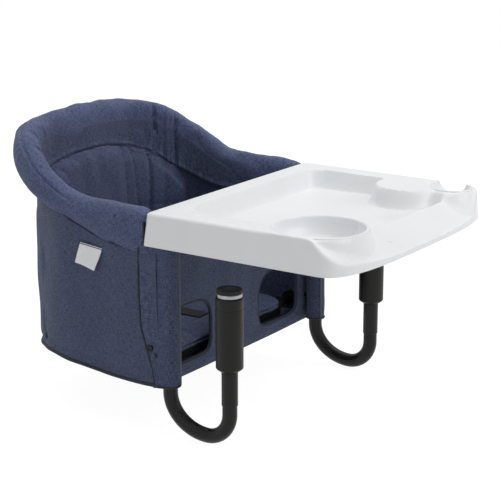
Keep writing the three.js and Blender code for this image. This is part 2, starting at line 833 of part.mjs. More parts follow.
function seatCushion() {
  const rings = capShares.map(([inset, rise]) => {
    const height = THREE.MathUtils.lerp(seatBottom, seatTop, rise);
    const plan = seatPlan(seatHalfWidth, seatFront, seatBack, seatCorner, inset);
    return plan.map(({ x, y }) => spot(x, y, height));
  });
  return cut(ringSkin(rings), crossRod(rollRadius + gap, seatHalfWidth + cutOverrun), webBlock(gap));
}

// Harness lying on the seat.
const strapTop = seatTop + gap + strapThickness;

function crotchStrap() {
  const back = buckleY - buckleLength / 2 - gap;
  return block([-strapWidth / 2, strapWidth / 2], [crotchFront, back], [seatTop + gap, strapTop]);
}

function waistStrap(side) {
  const outline = new THREE.Shape();
  const near = buckleWidth / 2 + gap;
  const low = seatTop + gap;
  const middle = (near + waistReach) / 2;
  outline.moveTo(side * near, low);
  outline.quadraticCurveTo(side * middle, low, side * waistReach, low - waistDrop);
  outline.lineTo(side * waistReach, strapTop - waistDrop);
  outline.quadraticCurveTo(side * middle, strapTop, side * near, strapTop);
  return outward(slabAlongY(outline, buckleY - strapWidth / 2, buckleY + strapWidth / 2));
}

function roundedBox(width, length, thickness, bevel, bottom) {
  const outline = new THREE.Shape();
  const [x, y] = [width / 2 - bevel, length / 2 - bevel];
  outline.moveTo(-x, -y);
  outline.lineTo(x, -y);
  outline.lineTo(x, y);
  outline.lineTo(-x, y);
  const edge = { bevelEnabled: true, bevelThickness: bevel, bevelSize: bevel, bevelSegments: 2 };
  const body = new THREE.ExtrudeGeometry(outline, { depth: thickness - bevel * 2, ...edge });
  return bare(body.translate(0, buckleY, bottom + bevel));
}

const buckleBottom = seatTop + gap;
const buckleTop = buckleBottom + buckleThickness;

function buckleRecess(grow) {
  const [x, y] = [buckleButtonWidth / 2 + grow, buckleButtonLength / 2 + grow];
  return [[-x, x], [buckleY - y, buckleY + y]];
}

function buckle() {
  const body = roundedBox(buckleWidth, buckleLength, buckleThickness, buckleBevel, buckleBottom);
  const floor = buckleTop - buckleButtonDepth;
  return cut(body, block(...buckleRecess(gap), [floor, buckleTop + cutOverrun]));
}

function buckleButton() {
  const low = buckleTop - buckleButtonDepth / 2;
  return block(...buckleRecess(0), [low, buckleTop + buckleButtonProud]);
}

// Tray: an outline that flares downward, hollow below, with sunk dishes and a sloping front deck.
function trayRing(grow, height) {
  const half = trayHalfWidth + grow;
  const rear = trayRear + Math.min(grow, 0);
  const front = trayFront - Math.min(grow, 0);
  const outline = new THREE.Shape();
  const [side, low] = [half, traySideFront];
  outline.moveTo(0, front);
  outline.bezierCurveTo(side * trayBowShare, front, side, front * trayShoulderShare, side, low);
  outline.lineTo(side, rear - trayCornerRear);
  outline.absarc(side - trayCornerRear, rear - trayCornerRear, trayCornerRear, 0, Math.PI / 2, false);
  outline.absarc(trayCornerRear - side, rear - trayCornerRear, trayCornerRear, Math.PI / 2, Math.PI, false);
  outline.lineTo(-side, low);
  outline.bezierCurveTo(-side, front * trayShoulderShare, -side * trayBowShare, front, 0, front);
  return outline.getPoints(bendSteps).slice(0, -1).map(({ x, y }) => spot(x, y, height));
}

function trayBlank() {
  return ringSkin([
    trayRing(trayFlare, 0),
    trayRing(trayFlare * trayEdgeDrop / trayTop, trayTop - trayEdgeDrop),
    trayRing(-trayEdgeInset / 3, trayTop - trayEdgeInset / 3),
    trayRing(-trayEdgeInset, trayTop),
  ]);
}

function trayHollow() {
  const under = trayTop - trayWall;
  const edge = trayFlare * trayEdgeDrop / trayTop;
  return ringSkin([
    trayRing(trayFlare - trayWall, -cutOverrun), trayRing(trayFlare - trayWall, 0),
    trayRing(edge - trayWall, trayTop - trayEdgeDrop), trayRing(-trayWall, under),
  ]);
}

// Everything above the sloping front deck, moved down by some amount.
function aboveSlope(lower) {
  const outline = new THREE.Shape();
  const slope = (trayTop - slopeFrontHeight) / (slopeStart - trayFront);
  const reach = slopeStart - trayFront + trayTop;
  outline.moveTo(slopeStart, trayTop - lower);
  outline.lineTo(slopeStart, trayTop + cutOverrun);
  outline.lineTo(slopeStart - reach, trayTop + cutOverrun);
  outline.lineTo(slopeStart - reach, trayTop - slope * reach - lower);
  const wide = trayHalfWidth + trayFlare + cutOverrun;
  return outward(slabAlongX(outline, -wide, wide));
}

// A dish with a sloping wall. Its outside is the same shape, larger by the wall.
function dish(x, y, radius, draft, floor, grow, top = trayTop) {
  const low = floor - (grow > 0 ? trayWall : 0);
  const foot = radius - draft + grow;
  const rim = radius + grow;
  const body = turned([[0, low], [foot, low], [rim, low + draft], [rim, top], [0, top]], dishSides);
  return body.translate(x, y, 0);
}

function panRing(grow, height) {
  const outline = new THREE.Shape();
  const corner = panCorner;
  const [left, right] = [panLeft - grow + corner, panRight + grow - corner];
  const [front, rear] = [panFront - grow + corner, panRear + grow - corner];
  outline.moveTo(left, front - corner);
  outline.absarc(right, front, corner, -Math.PI / 2, 0, false);
  outline.absarc(right, rear, corner, 0, Math.PI / 2, false);
  outline.absarc(left, rear, corner, Math.PI / 2, Math.PI, false);
  outline.absarc(left, front, corner, Math.PI, Math.PI * 1.5, false);
  return outline.getPoints(bendSteps / 2).slice(0, -1).map(({ x, y }) => spot(x, y, height));
}

function pan(grow, floor, top) {
  return ringSkin([panRing(grow - panDraft, floor), panRing(grow, floor + panDraft), panRing(grow, top)]);
}

// What stands up in the pan: the bowl's and the cup's round walls and the round bulge beside the cup.
function standing(shrink) {
  const low = -cutOverrun;
  const high = trayTop + cutOverrun * 2;
  const post = (x, y, radius) => rod(radius - shrink, low, high, dishSides).translate(x, y, 0);
  return [
    post(bowlX, bowlY, bowlRadius + dishWall), post(bulgeX, bulgeY, bulgeRadius),
    post(cupX, cupY, cupRadius + dishWall),
    block([bulgeX + shrink, panRight + panDraft * 2], [panFront - panDraft * 2, bulgeY], [low, high]),
  ];
}

// The round dip in the deck beside the cup.
function scoop(grow) {
  const edge = trayHalfWidth + trayFlare + cutOverrun;
  const body = alongX(rod(scoopRadius + grow, cupX - grow, edge, dishSides));
  return body.translate(0, cupY + scoopRadius / 2, scoopHeight);
}

function tray() {
  const bowlOut = dish(bowlX, bowlY, bowlRadius, bowlDraft, bowlFloor, dishWall);
  const cupOut = dish(cupX, cupY, cupRadius, bowlDraft, cupFloor, dishWall);
  const body = joined(cut(trayBlank(), aboveSlope(0)), bowlOut, cupOut);
  const panOut = cut(pan(trayWall, panFloor - trayWall, trayTop), ...standing(trayWall));
  const hollow = cut(trayHollow(), aboveSlope(trayWall), panOut, bowlOut, cupOut, scoop(trayWall));
  const above = trayTop + cutOverrun;
  const panIn = cut(pan(0, panFloor, above), ...standing(0));
  const bowlIn = dish(bowlX, bowlY, bowlRadius, bowlDraft, bowlFloor, 0, above);
  const cupIn = dish(cupX, cupY, cupRadius, bowlDraft, cupFloor, 0, above);
  const notchHalf = elbowHalfWidth + gap * 2;
  const notches = [-1, 1].map((side) => block([side * postX - notchHalf, side * postX + notchHalf],
    [elbowFront - gap, trayRear + cutOverrun], [-cutOverrun, bracketNeckTop + gap]));
  return cut(body, hollow, panIn, bowlIn, cupIn, scoop(0), ...notches);
}

// Saddle between an upper arm's grip and the tray's deck.
function trayClip() {
  const outline = new THREE.Shape();
  const hold = gripRadius + clipLift;
  const angle = Math.asin(clipHalfWidth / hold);
  const top = trayTop - trayWall - gap;
  outline.moveTo(-clipHalfWidth, top);
  outline.absarc(0, armHeight, hold, Math.PI / 2 + angle, Math.PI / 2 - angle, true);
  outline.lineTo(clipHalfWidth, top);
  return outward(slabAlongY(outline, clipY - clipLength / 2, clipY + clipLength / 2));
}

// A piece made for the right side is turned over for the left.
function mirrored(geometry, side) {
  return side < 0 ? geometry : outward(bare(geometry).scale(-1, 1, 1));
}

const chair = new THREE.Group();

function add(name, geometry, material) {
  const mesh = new THREE.Mesh(geometry, material);
  mesh.name = name;
  chair.add(mesh);
  return mesh;
}

for (const side of [-1, 1]) {
  const label = side < 0 ? "right" : "left";
  const place = (name, geometry, material, y = 0) => {
    add(`${label}_${name}`, mirrored(geometry, side), material).position.set(side * postX, y, 0);
  };
  place("post_tube", postTube(), blackTube());
  place("sleeve", sleeve(), binding());
  place("elbow", elbow(), blackPlastic());
  place("upper_arm", upperArm(), blackTube());
  place("grip", grip(), rubber());
  place("arm_cap", armCap(), blackPlastic());
  place("clamp_tube", clampTube(), blackTube());
  place("leg_cover", legCover(), blackPlastic(), legX);
  place("nut", nut(), steel(), legX);
  place("screw", screw(), steel(), legX);
  place("knob", knob(), blackPlastic(), legX);
  place("pad_plate", padPlate(), steel(), legX);
  place("pad_rubber", padRubber(), rubber(), legX);
  place("lock_button", lockButton(), blackPlastic());
  place("button_spring", buttonSpring(), steel());
  place("hinge_bracket", hingeBracket(), blackPlastic());
  place("hinge_pin", hingePin(), steel());
  place("rim_knuckle", rimKnuckle(), blackPlastic());
  place("lower_bracket", lowerBracket(), blackTube());
  place("tray_clip", trayClip(), whitePlastic());
  add(`${label}_eyelet`, mirrored(eyelet(), side), steel());
  add(`${label}_waist_strap`, waistStrap(side), binding());
}

add("cross_tube", crossTube(), blackTube());
add("rim_tube", rimTube(), blackTube());
add("rim_pad", rimPad(), cloth());
add("side_panel", sidePanel(), cloth());
add("back_cushion", backCushion(), lining());
add("front_panel", frontPanel(), cloth());
add("label_tag", labelTag(), whiteCloth());
add("base_hinge", baseHinge(), blackPlastic());
add("base_board", baseBoard(), board());
add("seat_cushion", seatCushion(), lining());
add("crotch_strap", crotchStrap(), binding());
add("buckle", buckle(), blackPlastic());
add("buckle_button", buckleButton(), blackPlastic());
add("tray", tray(), whitePlastic());

export default chair;
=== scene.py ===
"""Hook on table chair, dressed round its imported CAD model.

A cloth child's seat hangs behind a table edge on two black clamps, and a moulded white tray lies on
the table. Metres, in the CAD frame: X runs across the chair with the child's right at -X, the child
faces -Y towards the table, Z is up, and the origin lies on the table top midway between the posts.
"""

import json
import logging
from collections.abc import Callable
from dataclasses import dataclass, field
from enum import Enum

import bmesh
import bpy
import numpy as np
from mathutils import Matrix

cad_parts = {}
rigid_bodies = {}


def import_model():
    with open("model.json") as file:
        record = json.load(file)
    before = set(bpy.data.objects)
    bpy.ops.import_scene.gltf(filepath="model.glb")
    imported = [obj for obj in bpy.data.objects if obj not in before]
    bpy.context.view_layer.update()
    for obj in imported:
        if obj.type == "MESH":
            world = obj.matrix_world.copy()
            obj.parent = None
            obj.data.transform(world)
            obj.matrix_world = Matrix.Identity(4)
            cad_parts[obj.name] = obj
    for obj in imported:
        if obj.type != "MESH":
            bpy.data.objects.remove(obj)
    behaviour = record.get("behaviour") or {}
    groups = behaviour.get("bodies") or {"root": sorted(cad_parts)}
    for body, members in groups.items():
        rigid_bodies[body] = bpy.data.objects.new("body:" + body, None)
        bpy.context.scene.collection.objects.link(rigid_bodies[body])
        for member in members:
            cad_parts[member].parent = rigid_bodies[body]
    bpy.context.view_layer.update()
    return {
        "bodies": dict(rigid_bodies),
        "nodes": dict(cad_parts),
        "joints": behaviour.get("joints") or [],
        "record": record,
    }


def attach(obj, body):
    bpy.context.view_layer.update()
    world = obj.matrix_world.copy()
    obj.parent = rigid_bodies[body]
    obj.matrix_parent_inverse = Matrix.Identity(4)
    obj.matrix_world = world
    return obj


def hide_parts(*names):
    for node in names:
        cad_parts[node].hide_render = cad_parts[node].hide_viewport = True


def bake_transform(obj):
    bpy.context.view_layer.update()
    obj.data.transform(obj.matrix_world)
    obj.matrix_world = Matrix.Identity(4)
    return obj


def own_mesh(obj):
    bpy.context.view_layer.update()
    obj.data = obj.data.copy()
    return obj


LOG = logging.getLogger("hook_on_chair")
Array = np.ndarray
Trace = Callable[[Array], Array]
Tint = tuple[int, int, int]
Pair = tuple[float, float]
Spot = tuple[float, float, float]
Piece = bpy.types.Object
Socket = bpy.types.NodeSocket

UP = np.array([0.0, 0.0, 1.0])
ACROSS = np.array([1.0, 0.0, 0.0])
AHEAD = np.array([0.0, 1.0, 0.0])
WELD = 1e-6
QUARTER = np.pi / 2
POST = 0.176  # from the chair's middle to each post's axis
TUBE_RADIUS = 0.0095  # of the clamps and the arms
FRAME = "seat_frame"


# Shapes worked out as whole arrays.


def smooth(value: Array | float, low: float = 0.0, high: float = 1.0) -> Array:
    """Ease from nought to one: three squares less two cubes of the share from low to high.

    Args:
        value: Where to read the ease.
        low: Where it starts.
        high: Where it ends.

    Returns:
        Shares from nought to one.
    """
    share = np.clip((np.asarray(value, float) - low) / (high - low), 0.0, 1.0)
    return share * share * (3.0 - 2.0 * share)


def mix(low: Array | float, high: Array | float, share: Array | float) -> Array:
    """Straight blend: low plus the share of the way to high."""
    return low + (high - low) * share


def hump(value: Array, centre: float, width: float) -> Array:
    """Bell of height one: e to the minus square of the distance over the width."""
    return np.exp(-(((value - centre) / width) ** 2))


def unit(vectors: Array) -> Array:
    """The same directions at length one."""
    return vectors / np.maximum(np.linalg.norm(vectors, axis=-1, keepdims=True), WELD**2)


def joined(*parts: Array | float) -> Array:
    """Numbers set side by side as places, each spread to the shape of the others."""
    return np.stack(np.broadcast_arrays(*parts), axis=-1)


def heading(angle: Array) -> Array:
    """Cosine and sine of each angle, side by side."""
    return joined(np.cos(angle), np.sin(angle))


def side_name(side: int) -> str:
    """The side's name in node names: the child's right lies at negative X."""
    return "right" if side < 0 else "left"


def ripple(points: Array, wave: float, seed: int, count: int = 16) -> Array:
    """Soft unevenness: the sum of sines that run in random directions, scaled to about one.

    Args:
        points: Places, in metres.
        wave: The usual length of one wave.
        seed: Starts the random directions, so that each run is the same.
        count: How many sines are summed.

    Returns:
        One number for each place, mostly between minus one and one.
    """
    rng = np.random.default_rng(seed)
    turns = rng.normal(size=(points.shape[-1], count))
    lengths = wave * rng.uniform(0.7, 1.6, count)
    turns *= 2.0 * np.pi / (np.linalg.norm(turns, axis=0) * lengths)
    starts = rng.uniform(0.0, 2.0 * np.pi, count)
    return np.sin(points @ turns + starts).sum(axis=-1) / np.sqrt(count)


@dataclass(frozen=True)
class Surface:
    """Places and faces of one mesh."""

    points: Array
    faces: list[list[int]]

    def plus(self, *others: "Surface") -> "Surface":
        """This surface and others as one.

        Args:
            others: Surfaces that are added.

        Returns:
            One surface with all the faces.
        """
        points, faces = [self.points], list(self.faces)
        for other in others:
            start = sum(len(block) for block in points)
            faces += [[start + corner for corner in face] for face in other.faces]
            points.append(other.points)
        return Surface(np.vstack(points), faces)

    def on_side(self, side: int) -> "Surface":
        """The surface made for the child's right, or its mirror image across the chair's middle."""
        return self if side < 0 else Surface(self.points * (-1.0, 1.0, 1.0), self.faces)


def grid_faces(rows: int, columns: int, looped: bool, round_columns: bool) -> list[list[int]]:
    """Four-cornered faces of a grid.

    Args:
        rows: Rows of places.
        columns: Places in a row.
        looped: Whether the last row joins the first.
        round_columns: Whether each row closes on itself.

    Returns:
        Corner numbers of each face.
    """
    row, column = np.meshgrid(np.arange(rows if looped else rows - 1),
                              np.arange(columns if round_columns else columns - 1), indexing="ij")
    beside, above = (column + 1) % columns, (row + 1) % rows
    corners = joined(row * columns + column, row * columns + beside,
                     above * columns + beside, above * columns + column)
    return corners.reshape(-1, 4).tolist()


def ring_skin(rings: Array, looped: bool = False, capped: bool = True) -> Surface:
    """Skin over a row of rings, closed at both ends by a fan round each end's middle.

    Args:
        rings: Rows of ring places, of shape rings by places by three.
        looped: Whether the last ring joins the first.
        capped: Whether the ends are closed.

    Returns:
        The skin.
    """
    rows, columns = rings.shape[:2]
    points, faces = rings.reshape(-1, 3), grid_faces(rows, columns, looped, True)
    if capped and not looped:
        points = np.vstack([points, rings[[0, -1]].mean(axis=1)])
        step = np.arange(columns)
        beside, last, hub = (step + 1) % columns, (rows - 1) * columns, rows * columns
        faces += joined(hub, beside, step).tolist() + joined(hub + 1, last + step, last + beside).tolist()
    return Surface(points, faces)


def circle(radius: float, sides: int) -> Array:
    """Places round a circle, as cosine and sine times the radius."""
    return radius * heading(np.arange(sides) / sides * 2.0 * np.pi)


def squarish(wide: float, high: float, sides: int, power: float) -> Array:
    """Places round a rounded box: half sizes times the signed power of cosine and sine."""
    ring = circle(1.0, sides)
    return np.sign(ring) * np.abs(ring) ** power * (wide, high)


def eased(corners: Array | list, radius: float, steps: int = 6) -> Array:
    """A line whose inner corners are rounded by quadratic curves.

    Args:
        corners: Places of the line.
        radius: How far from each corner its curve starts and ends, at most.
        steps: Parts of each curve.

    Returns:
        Places of the rounded line.
    """
    corners = np.asarray(corners, float)
    inner = corners[1:-1]
    before, after = corners[:-2] - inner, corners[2:] - inner
    lengths = np.minimum(np.linalg.norm(before, axis=1), np.linalg.norm(after, axis=1))
    reach = np.minimum(radius, lengths * 0.49)[:, None]
    start, end = inner + unit(before) * reach, inner + unit(after) * reach
    share = np.linspace(0.0, 1.0, steps + 1)[None, :, None]
    curve = ((1 - share) ** 2 * start[:, None] + 2 * share * (1 - share) * inner[:, None]
             + share**2 * end[:, None])
    return np.vstack([corners[:1], curve.reshape(-1, corners.shape[1]), corners[-1:]])


def evenly(line: Array, spacing: float, closed: bool = False) -> Array:
    """The same line with places at an even spacing along it.

    Args:
        line: Places of the line.
        spacing: Distance between places.
        closed: Whether the line returns to its start.

    Returns:
        Places along the line, without the repeated one where it is closed.
    """
    line = np.vstack([line, line[:1]]) if closed else line
    travel = np.concatenate([[0.0], np.cumsum(np.linalg.norm(np.diff(line, axis=0), axis=1))])
    count = max(int(travel[-1] / spacing), 2) + 1
    wanted = np.linspace(0.0, travel[-1], count)[: count - 1 if closed else count]
    return np.stack([np.interp(wanted, travel, line[:, axis]) for axis in range(line.shape[1])], axis=-1)


def carried(path: Array, section: Array, up: Array, looped: bool = False) -> Surface:
    """A section carried along a path: path plus sideways and upward parts of the section.

    Args:
        path: Places of the path.
        section: Places round the section, one set or one for each place of the path.
        up: The direction that the section's second number keeps nearest to.
        looped: Whether the path returns to its start.

    Returns:
        The closed skin.
    """
    if looped:
        tangent = unit(np.roll(path, -1, axis=0) - np.roll(path, 1, axis=0))
    else:
        tangent = unit(np.gradient(path, axis=0))
    side = unit(np.cross(np.broadcast_to(up, tangent.shape), tangent))
    top = np.cross(tangent, side)
    section = np.broadcast_to(section, (len(path), *section.shape[-2:]))
    rings = (path[:, None] + side[:, None] * section[..., :1] + top[:, None] * section[..., 1:])
    return ring_skin(rings, looped)


def rows_beside(place: Array, out: Array, height: Array, move: Array) -> Array:
    """Each place as a row of places, raised to a row of heights and moved outward by a row of distances."""
    return place[:, None] + UP * height[..., None] + out[:, None] * move[..., None]


def turned(profile: Array | list, sides: int, place: Spot, axis: Array = UP) -> Surface:
    """A profile turned round an axis: the place, plus the height along it and the radius across.

    Args:
        profile: Radius and height of each place, from one end to the other.
        sides: Places round.
        place: Where the height starts.
        axis: The axis.

    Returns:
        The skin, whose ends lie on the axis or meet each other.
    """
    profile = np.asarray(profile, float)
    across = unit(np.cross(axis, ACROSS if abs(axis[0]) < 0.9 else AHEAD))
    ring = circle(1.0, sides)
    round_it = ring[:, :1] * across + ring[:, 1:] * np.cross(axis, across)
    rings = (np.asarray(place) + profile[:, None, 1:] * axis + profile[:, None, :1] * round_it[None])
    return ring_skin(rings, capped=False)


def rod(radius: float, low: float, high: float, edge: float = 0.0008, sides: int = 40,
        place: Spot = (0.0, 0.0, 0.0), axis: Array = UP) -> Surface:
    """A round bar with eased edges, turned from its half section."""
    corners = [(0.0, low), (radius, low), (radius, high), (0.0, high)]
    return turned(eased(corners, edge, 4), sides, place, axis)


def pipe(inner: float, outer: float, low: float, high: float, edge: float = 0.0006, sides: int = 40,
         place: Spot = (0.0, 0.0, 0.0), axis: Array = UP) -> Surface:
    """A round tube with eased edges, turned from its wall's section."""
    middle = (low + high) / 2
    corners = [(inner, middle), (inner, low), (outer, low), (outer, high), (inner, high), (inner, middle)]
    return turned(eased(corners, edge, 4), sides, place, axis)


def soft_block(low: Array | list, high: Array | list, edge: float, sides: int = 48) -> Surface:
    """A box with eased edges: rounded box rings along Z that draw in at both ends.

    Args:
        low: Lowest corner.
        high: Highest corner.
        edge: How far the edges are eased.
        sides: Places round.

    Returns:
        The closed skin.
    """
    low, high = np.asarray(low, float), np.asarray(high, float)
    half = (high[:2] - low[:2]) / 2
    turn = np.linspace(0.0, QUARTER, 6)
    inset = np.concatenate([1 - np.sin(turn), 1 - np.sin(turn[::-1])]) * edge
    rise = np.concatenate([low[2] + edge * (1 - np.cos(turn)), high[2] - edge * (1 - np.cos(turn[::-1]))])
    ring = squarish(1.0, 1.0, sides, 0.22)
    flat = (low[:2] + high[:2]) / 2 + ring[None] * (half - inset[:, None, None])
    height = np.broadcast_to(rise[:, None, None], (len(rise), sides, 1))
    return ring_skin(np.concatenate([flat, height], axis=-1))


# Materials.


def srgb(tint: Tint) -> tuple[float, float, float, float]:
    """A screen colour from 0 to 255 as the linear colour that Blender's shaders take."""
    level = np.asarray(tint) / 255.0
    linear = np.where(level <= 0.04045, level / 12.92, ((level + 0.055) / 1.055) ** 2.4)
    return (*linear.tolist(), 1.0)


class Tree:
    """A shader tree that nodes are added to."""

    def __init__(self, tree: bpy.types.NodeTree) -> None:
        """Takes up a tree as it is."""
        self.nodes, self.links = tree.nodes, tree.links

    def node(self, kind: str, inputs: dict, output: str | int = 0, **settings: object) -> Socket:
        """Adds a node.

        Args:
            kind: The node's type.
            inputs: Values or sockets by input name or number.
            output: The output that is wanted.
            settings: The node's own settings.

        Returns:
            The wanted output.
        """
        made = self.nodes.new(kind)
        for key, value in settings.items():
            setattr(made, key, value)
        for key, value in inputs.items():
            self.feed(made.inputs[key], value)
        return made.outputs[output]

    def feed(self, socket: Socket, value: object) -> None:
        """Links a socket, or sets its value."""
        if isinstance(value, Socket):
            self.links.new(value, socket)
        else:
            socket.default_value = value

    def sums(self, *parts: object) -> object:
        """Numbers added up, from the first to the last."""
        total = parts[0]
        for part in parts[1:]:
            total = self.node("ShaderNodeMath", {0: total, 1: part})
        return total

    def times(self, value: object, factor: float) -> object:
        """A number times a factor."""
        return self.node("ShaderNodeMath", {0: value, 1: factor}, operation="MULTIPLY")


class Recipe(Tree):
    """The nodes of one material."""

    def __init__(self, name: str) -> None:
        """Starts from a plain principled shader."""
        self.material = bpy.data.materials.new(name)
        self.material.use_nodes = True
        super().__init__(self.material.node_tree)
        self.shader = self.nodes["Principled BSDF"]

    def noise(self, vector: object, scale: float, detail: float = 2.0, rough: float = 0.5) -> object:
        """Soft random pattern of a scale in patches to the metre."""
        inputs = {"Vector": vector, "Scale": scale, "Detail": detail, "Roughness": rough}
        return self.node("ShaderNodeTexNoise", inputs)

    def stretched(self, vector: object, scales: Spot, detail: float = 2.0) -> object:
        """Random streaks, with patches to the metre along each axis."""
        spread = self.node("ShaderNodeMapping", {"Vector": vector, "Scale": scales})
        return self.noise(spread, 1.0, detail)

    def bands(self, vector: object, pitch: float, direction: str, bend: float = 0.0) -> object:
        """Even bands across one axis, a pitch apart: a sine of the place times two pi over the pitch."""
        scale = 2.0 * np.pi / pitch / 20.0
        inputs = {"Vector": vector, "Scale": scale, "Distortion": bend, "Detail": 1.0, "Detail Scale": 1.5}
        return self.node("ShaderNodeTexWave", inputs, 1, bands_direction=direction)

    def span(self, value: object, from_low: float, from_high: float, low: float = 0.0,
             high: float = 1.0) -> object:
        """A number moved from one range to another."""
        inputs = {"Value": value, "From Min": from_low, "From Max": from_high, "To Min": low, "To Max": high}
        return self.node("ShaderNodeMapRange", inputs)

    def blend(self, share: object, first: object, second: object) -> object:
        """Two colours mixed by a share."""
        return self.node("ShaderNodeMix", {0: share, 6: first, 7: second}, 2, data_type="RGBA")

    def bump(self, height: object, strength: float, distance: float) -> None:
        """Sets the shader's normal from a height."""
        inputs = {"Height": height, "Strength": strength, "Distance": distance}
        self.feed(self.shader.inputs["Normal"], self.node("ShaderNodeBump", inputs))


class Pattern(Enum):
    """What a finish's surface is made of."""

    WEAVE = "weave"
    TAPE = "tape"
    MOULDED = "moulded"
    PAINTED = "painted"
    BRUSHED = "brushed"
    FIBRE = "fibre"


@dataclass(frozen=True)
class Finish:
    """One material: its colours, roughness and pattern."""

    name: str
    slot: str
    pattern: Pattern
    dark: Tint
    light: Tint
    roughness: Pair
    metallic: float = 0.0
    sheen: float = 0.0
    coat: float = 0.0
    depth: float = 1.0
    specular: float = 0.5
    traced: bool = False

    def material(self) -> bpy.types.Material:
        """Builds the material's nodes.

        Returns:
            The material.
        """
        recipe = Recipe(self.name)
        levels = {"Metallic": self.metallic, "Sheen Weight": self.sheen, "Sheen Roughness": 0.45,
                  "Coat Weight": self.coat, "Coat Roughness": 0.18, "Specular IOR Level": self.specular}
        for name, level in levels.items():
            recipe.shader.inputs[name].default_value = level
        if self.traced:
            place = recipe.node("ShaderNodeAttribute", {}, "Vector", attribute_name="weave")
        else:
            place = recipe.node("ShaderNodeTexCoord", {}, "Object")
        patterns = {Pattern.WEAVE: self.weave, Pattern.TAPE: self.tape, Pattern.MOULDED: self.moulded,
                    Pattern.PAINTED: self.painted, Pattern.BRUSHED: self.brushed, Pattern.FIBRE: self.fibre}
        patterns[self.pattern](recipe, place)
        return recipe.material

    def colour(self, recipe: Recipe, share: object) -> None:
        """Sets the colour from dark to light by a share."""
        mixed = recipe.blend(share, srgb(self.dark), srgb(self.light))
        recipe.feed(recipe.shader.inputs["Base Color"], mixed)

    def rough(self, recipe: Recipe, share: object) -> None:
        """Sets the roughness by a share of its range."""
        recipe.feed(recipe.shader.inputs["Roughness"], recipe.span(share, 0.3, 0.7, *self.roughness))

    def weave(self, recipe: Recipe, place: object) -> None:
        """Heathered plain weave: streaks along both threads, broad clouds and a fine thread relief."""
        warp = recipe.stretched(place, (150.0, 950.0, 150.0), 3.0)
        weft = recipe.stretched(place, (950.0, 150.0, 950.0), 3.0)
        cloud = recipe.noise(place, 16.0, 3.0)
        fleck = recipe.noise(place, 420.0, 2.0)
        share = recipe.sums(warp, weft, recipe.times(cloud, 0.35), recipe.times(fleck, 0.5))
        self.colour(recipe, recipe.span(share, 1.12, 1.73))
        threads = recipe.sums(recipe.bands(place, 0.0012, "X", 0.6), recipe.bands(place, 0.0012, "Y", 0.6))
        recipe.bump(recipe.sums(threads, recipe.sums(warp, weft)), 0.45 * self.depth, 0.0004)
        self.rough(recipe, cloud)

    def tape(self, recipe: Recipe, place: object) -> None:
        """Ribbed tape: ribs across the way it runs, with finer slanted threads and worn patches."""
        ribs = recipe.bands(place, 0.0016, "X", 0.4)
        slant = recipe.bands(place, 0.0011, "DIAGONAL", 0.3)
        cloud = recipe.noise(place, 60.0, 3.0)
        share = recipe.sums(recipe.times(ribs, 0.35), recipe.times(slant, 0.2), recipe.times(cloud, 0.45))
        self.colour(recipe, share)
        recipe.bump(recipe.sums(ribs, slant), 0.5 * self.depth, 0.0004)
        self.rough(recipe, cloud)

    def moulded(self, recipe: Recipe, place: object) -> None:
        """Moulded plastic: a faint flow of tone, a fine grain and a few rubbed streaks."""
        flow = recipe.noise(place, 9.0, 3.0)
        grain = recipe.noise(place, 1300.0, 2.0)
        rub = recipe.stretched(place, (45.0, 420.0, 260.0), 4.0)
        self.colour(recipe, recipe.span(recipe.sums(flow, recipe.times(rub, 0.05)), 0.35, 0.75))
        recipe.bump(recipe.sums(grain, recipe.times(rub, 0.02)), 0.12 * self.depth, 0.0002)
        self.rough(recipe, recipe.sums(recipe.times(flow, 0.9), recipe.times(rub, 0.1)))

    def painted(self, recipe: Recipe, place: object) -> None:
        """Powder coat: an even skin with a slight orange peel, faint dust and rubbed streaks."""
        peel = recipe.noise(place, 700.0, 2.0)
        dust = recipe.noise(place, 40.0, 5.0, 0.65)
        rub = recipe.stretched(place, (300.0, 300.0, 30.0), 3.0)
        self.colour(recipe, recipe.span(recipe.sums(dust, recipe.times(rub, 0.4)), 0.55, 0.95))
        recipe.bump(peel, 0.18 * self.depth, 0.0002)
        self.rough(recipe, dust)

    def brushed(self, recipe: Recipe, place: object) -> None:
        """Drawn steel: long fine scratches, soft smudges and tiny pits."""
        scratch = recipe.stretched(place, (1600.0, 1600.0, 40.0), 3.0)
        smudge = recipe.noise(place, 55.0, 3.0)
        pits = recipe.noise(place, 2200.0, 1.0)
        worn = recipe.sums(scratch, smudge)
        self.colour(recipe, recipe.span(worn, 0.7, 1.3))
        recipe.bump(recipe.sums(scratch, recipe.times(pits, 0.5)), 0.2 * self.depth, 0.0002)
        self.rough(recipe, recipe.times(worn, 0.5))

    def fibre(self, recipe: Recipe, place: object) -> None:
        """Pressed board: long grain, short fibres and darker knots."""
        grain = recipe.stretched(place, (12.0, 260.0, 260.0), 5.0)
        fibres = recipe.stretched(place, (160.0, 1400.0, 1400.0), 2.0)
        knots = recipe.noise(place, 22.0, 2.0)
        share = recipe.sums(grain, recipe.times(fibres, 0.5), recipe.times(knots, 0.4))
        self.colour(recipe, recipe.span(share, 0.7, 1.2))
        recipe.bump(recipe.sums(grain, fibres), 0.25 * self.depth, 0.0003)
        self.rough(recipe, knots)


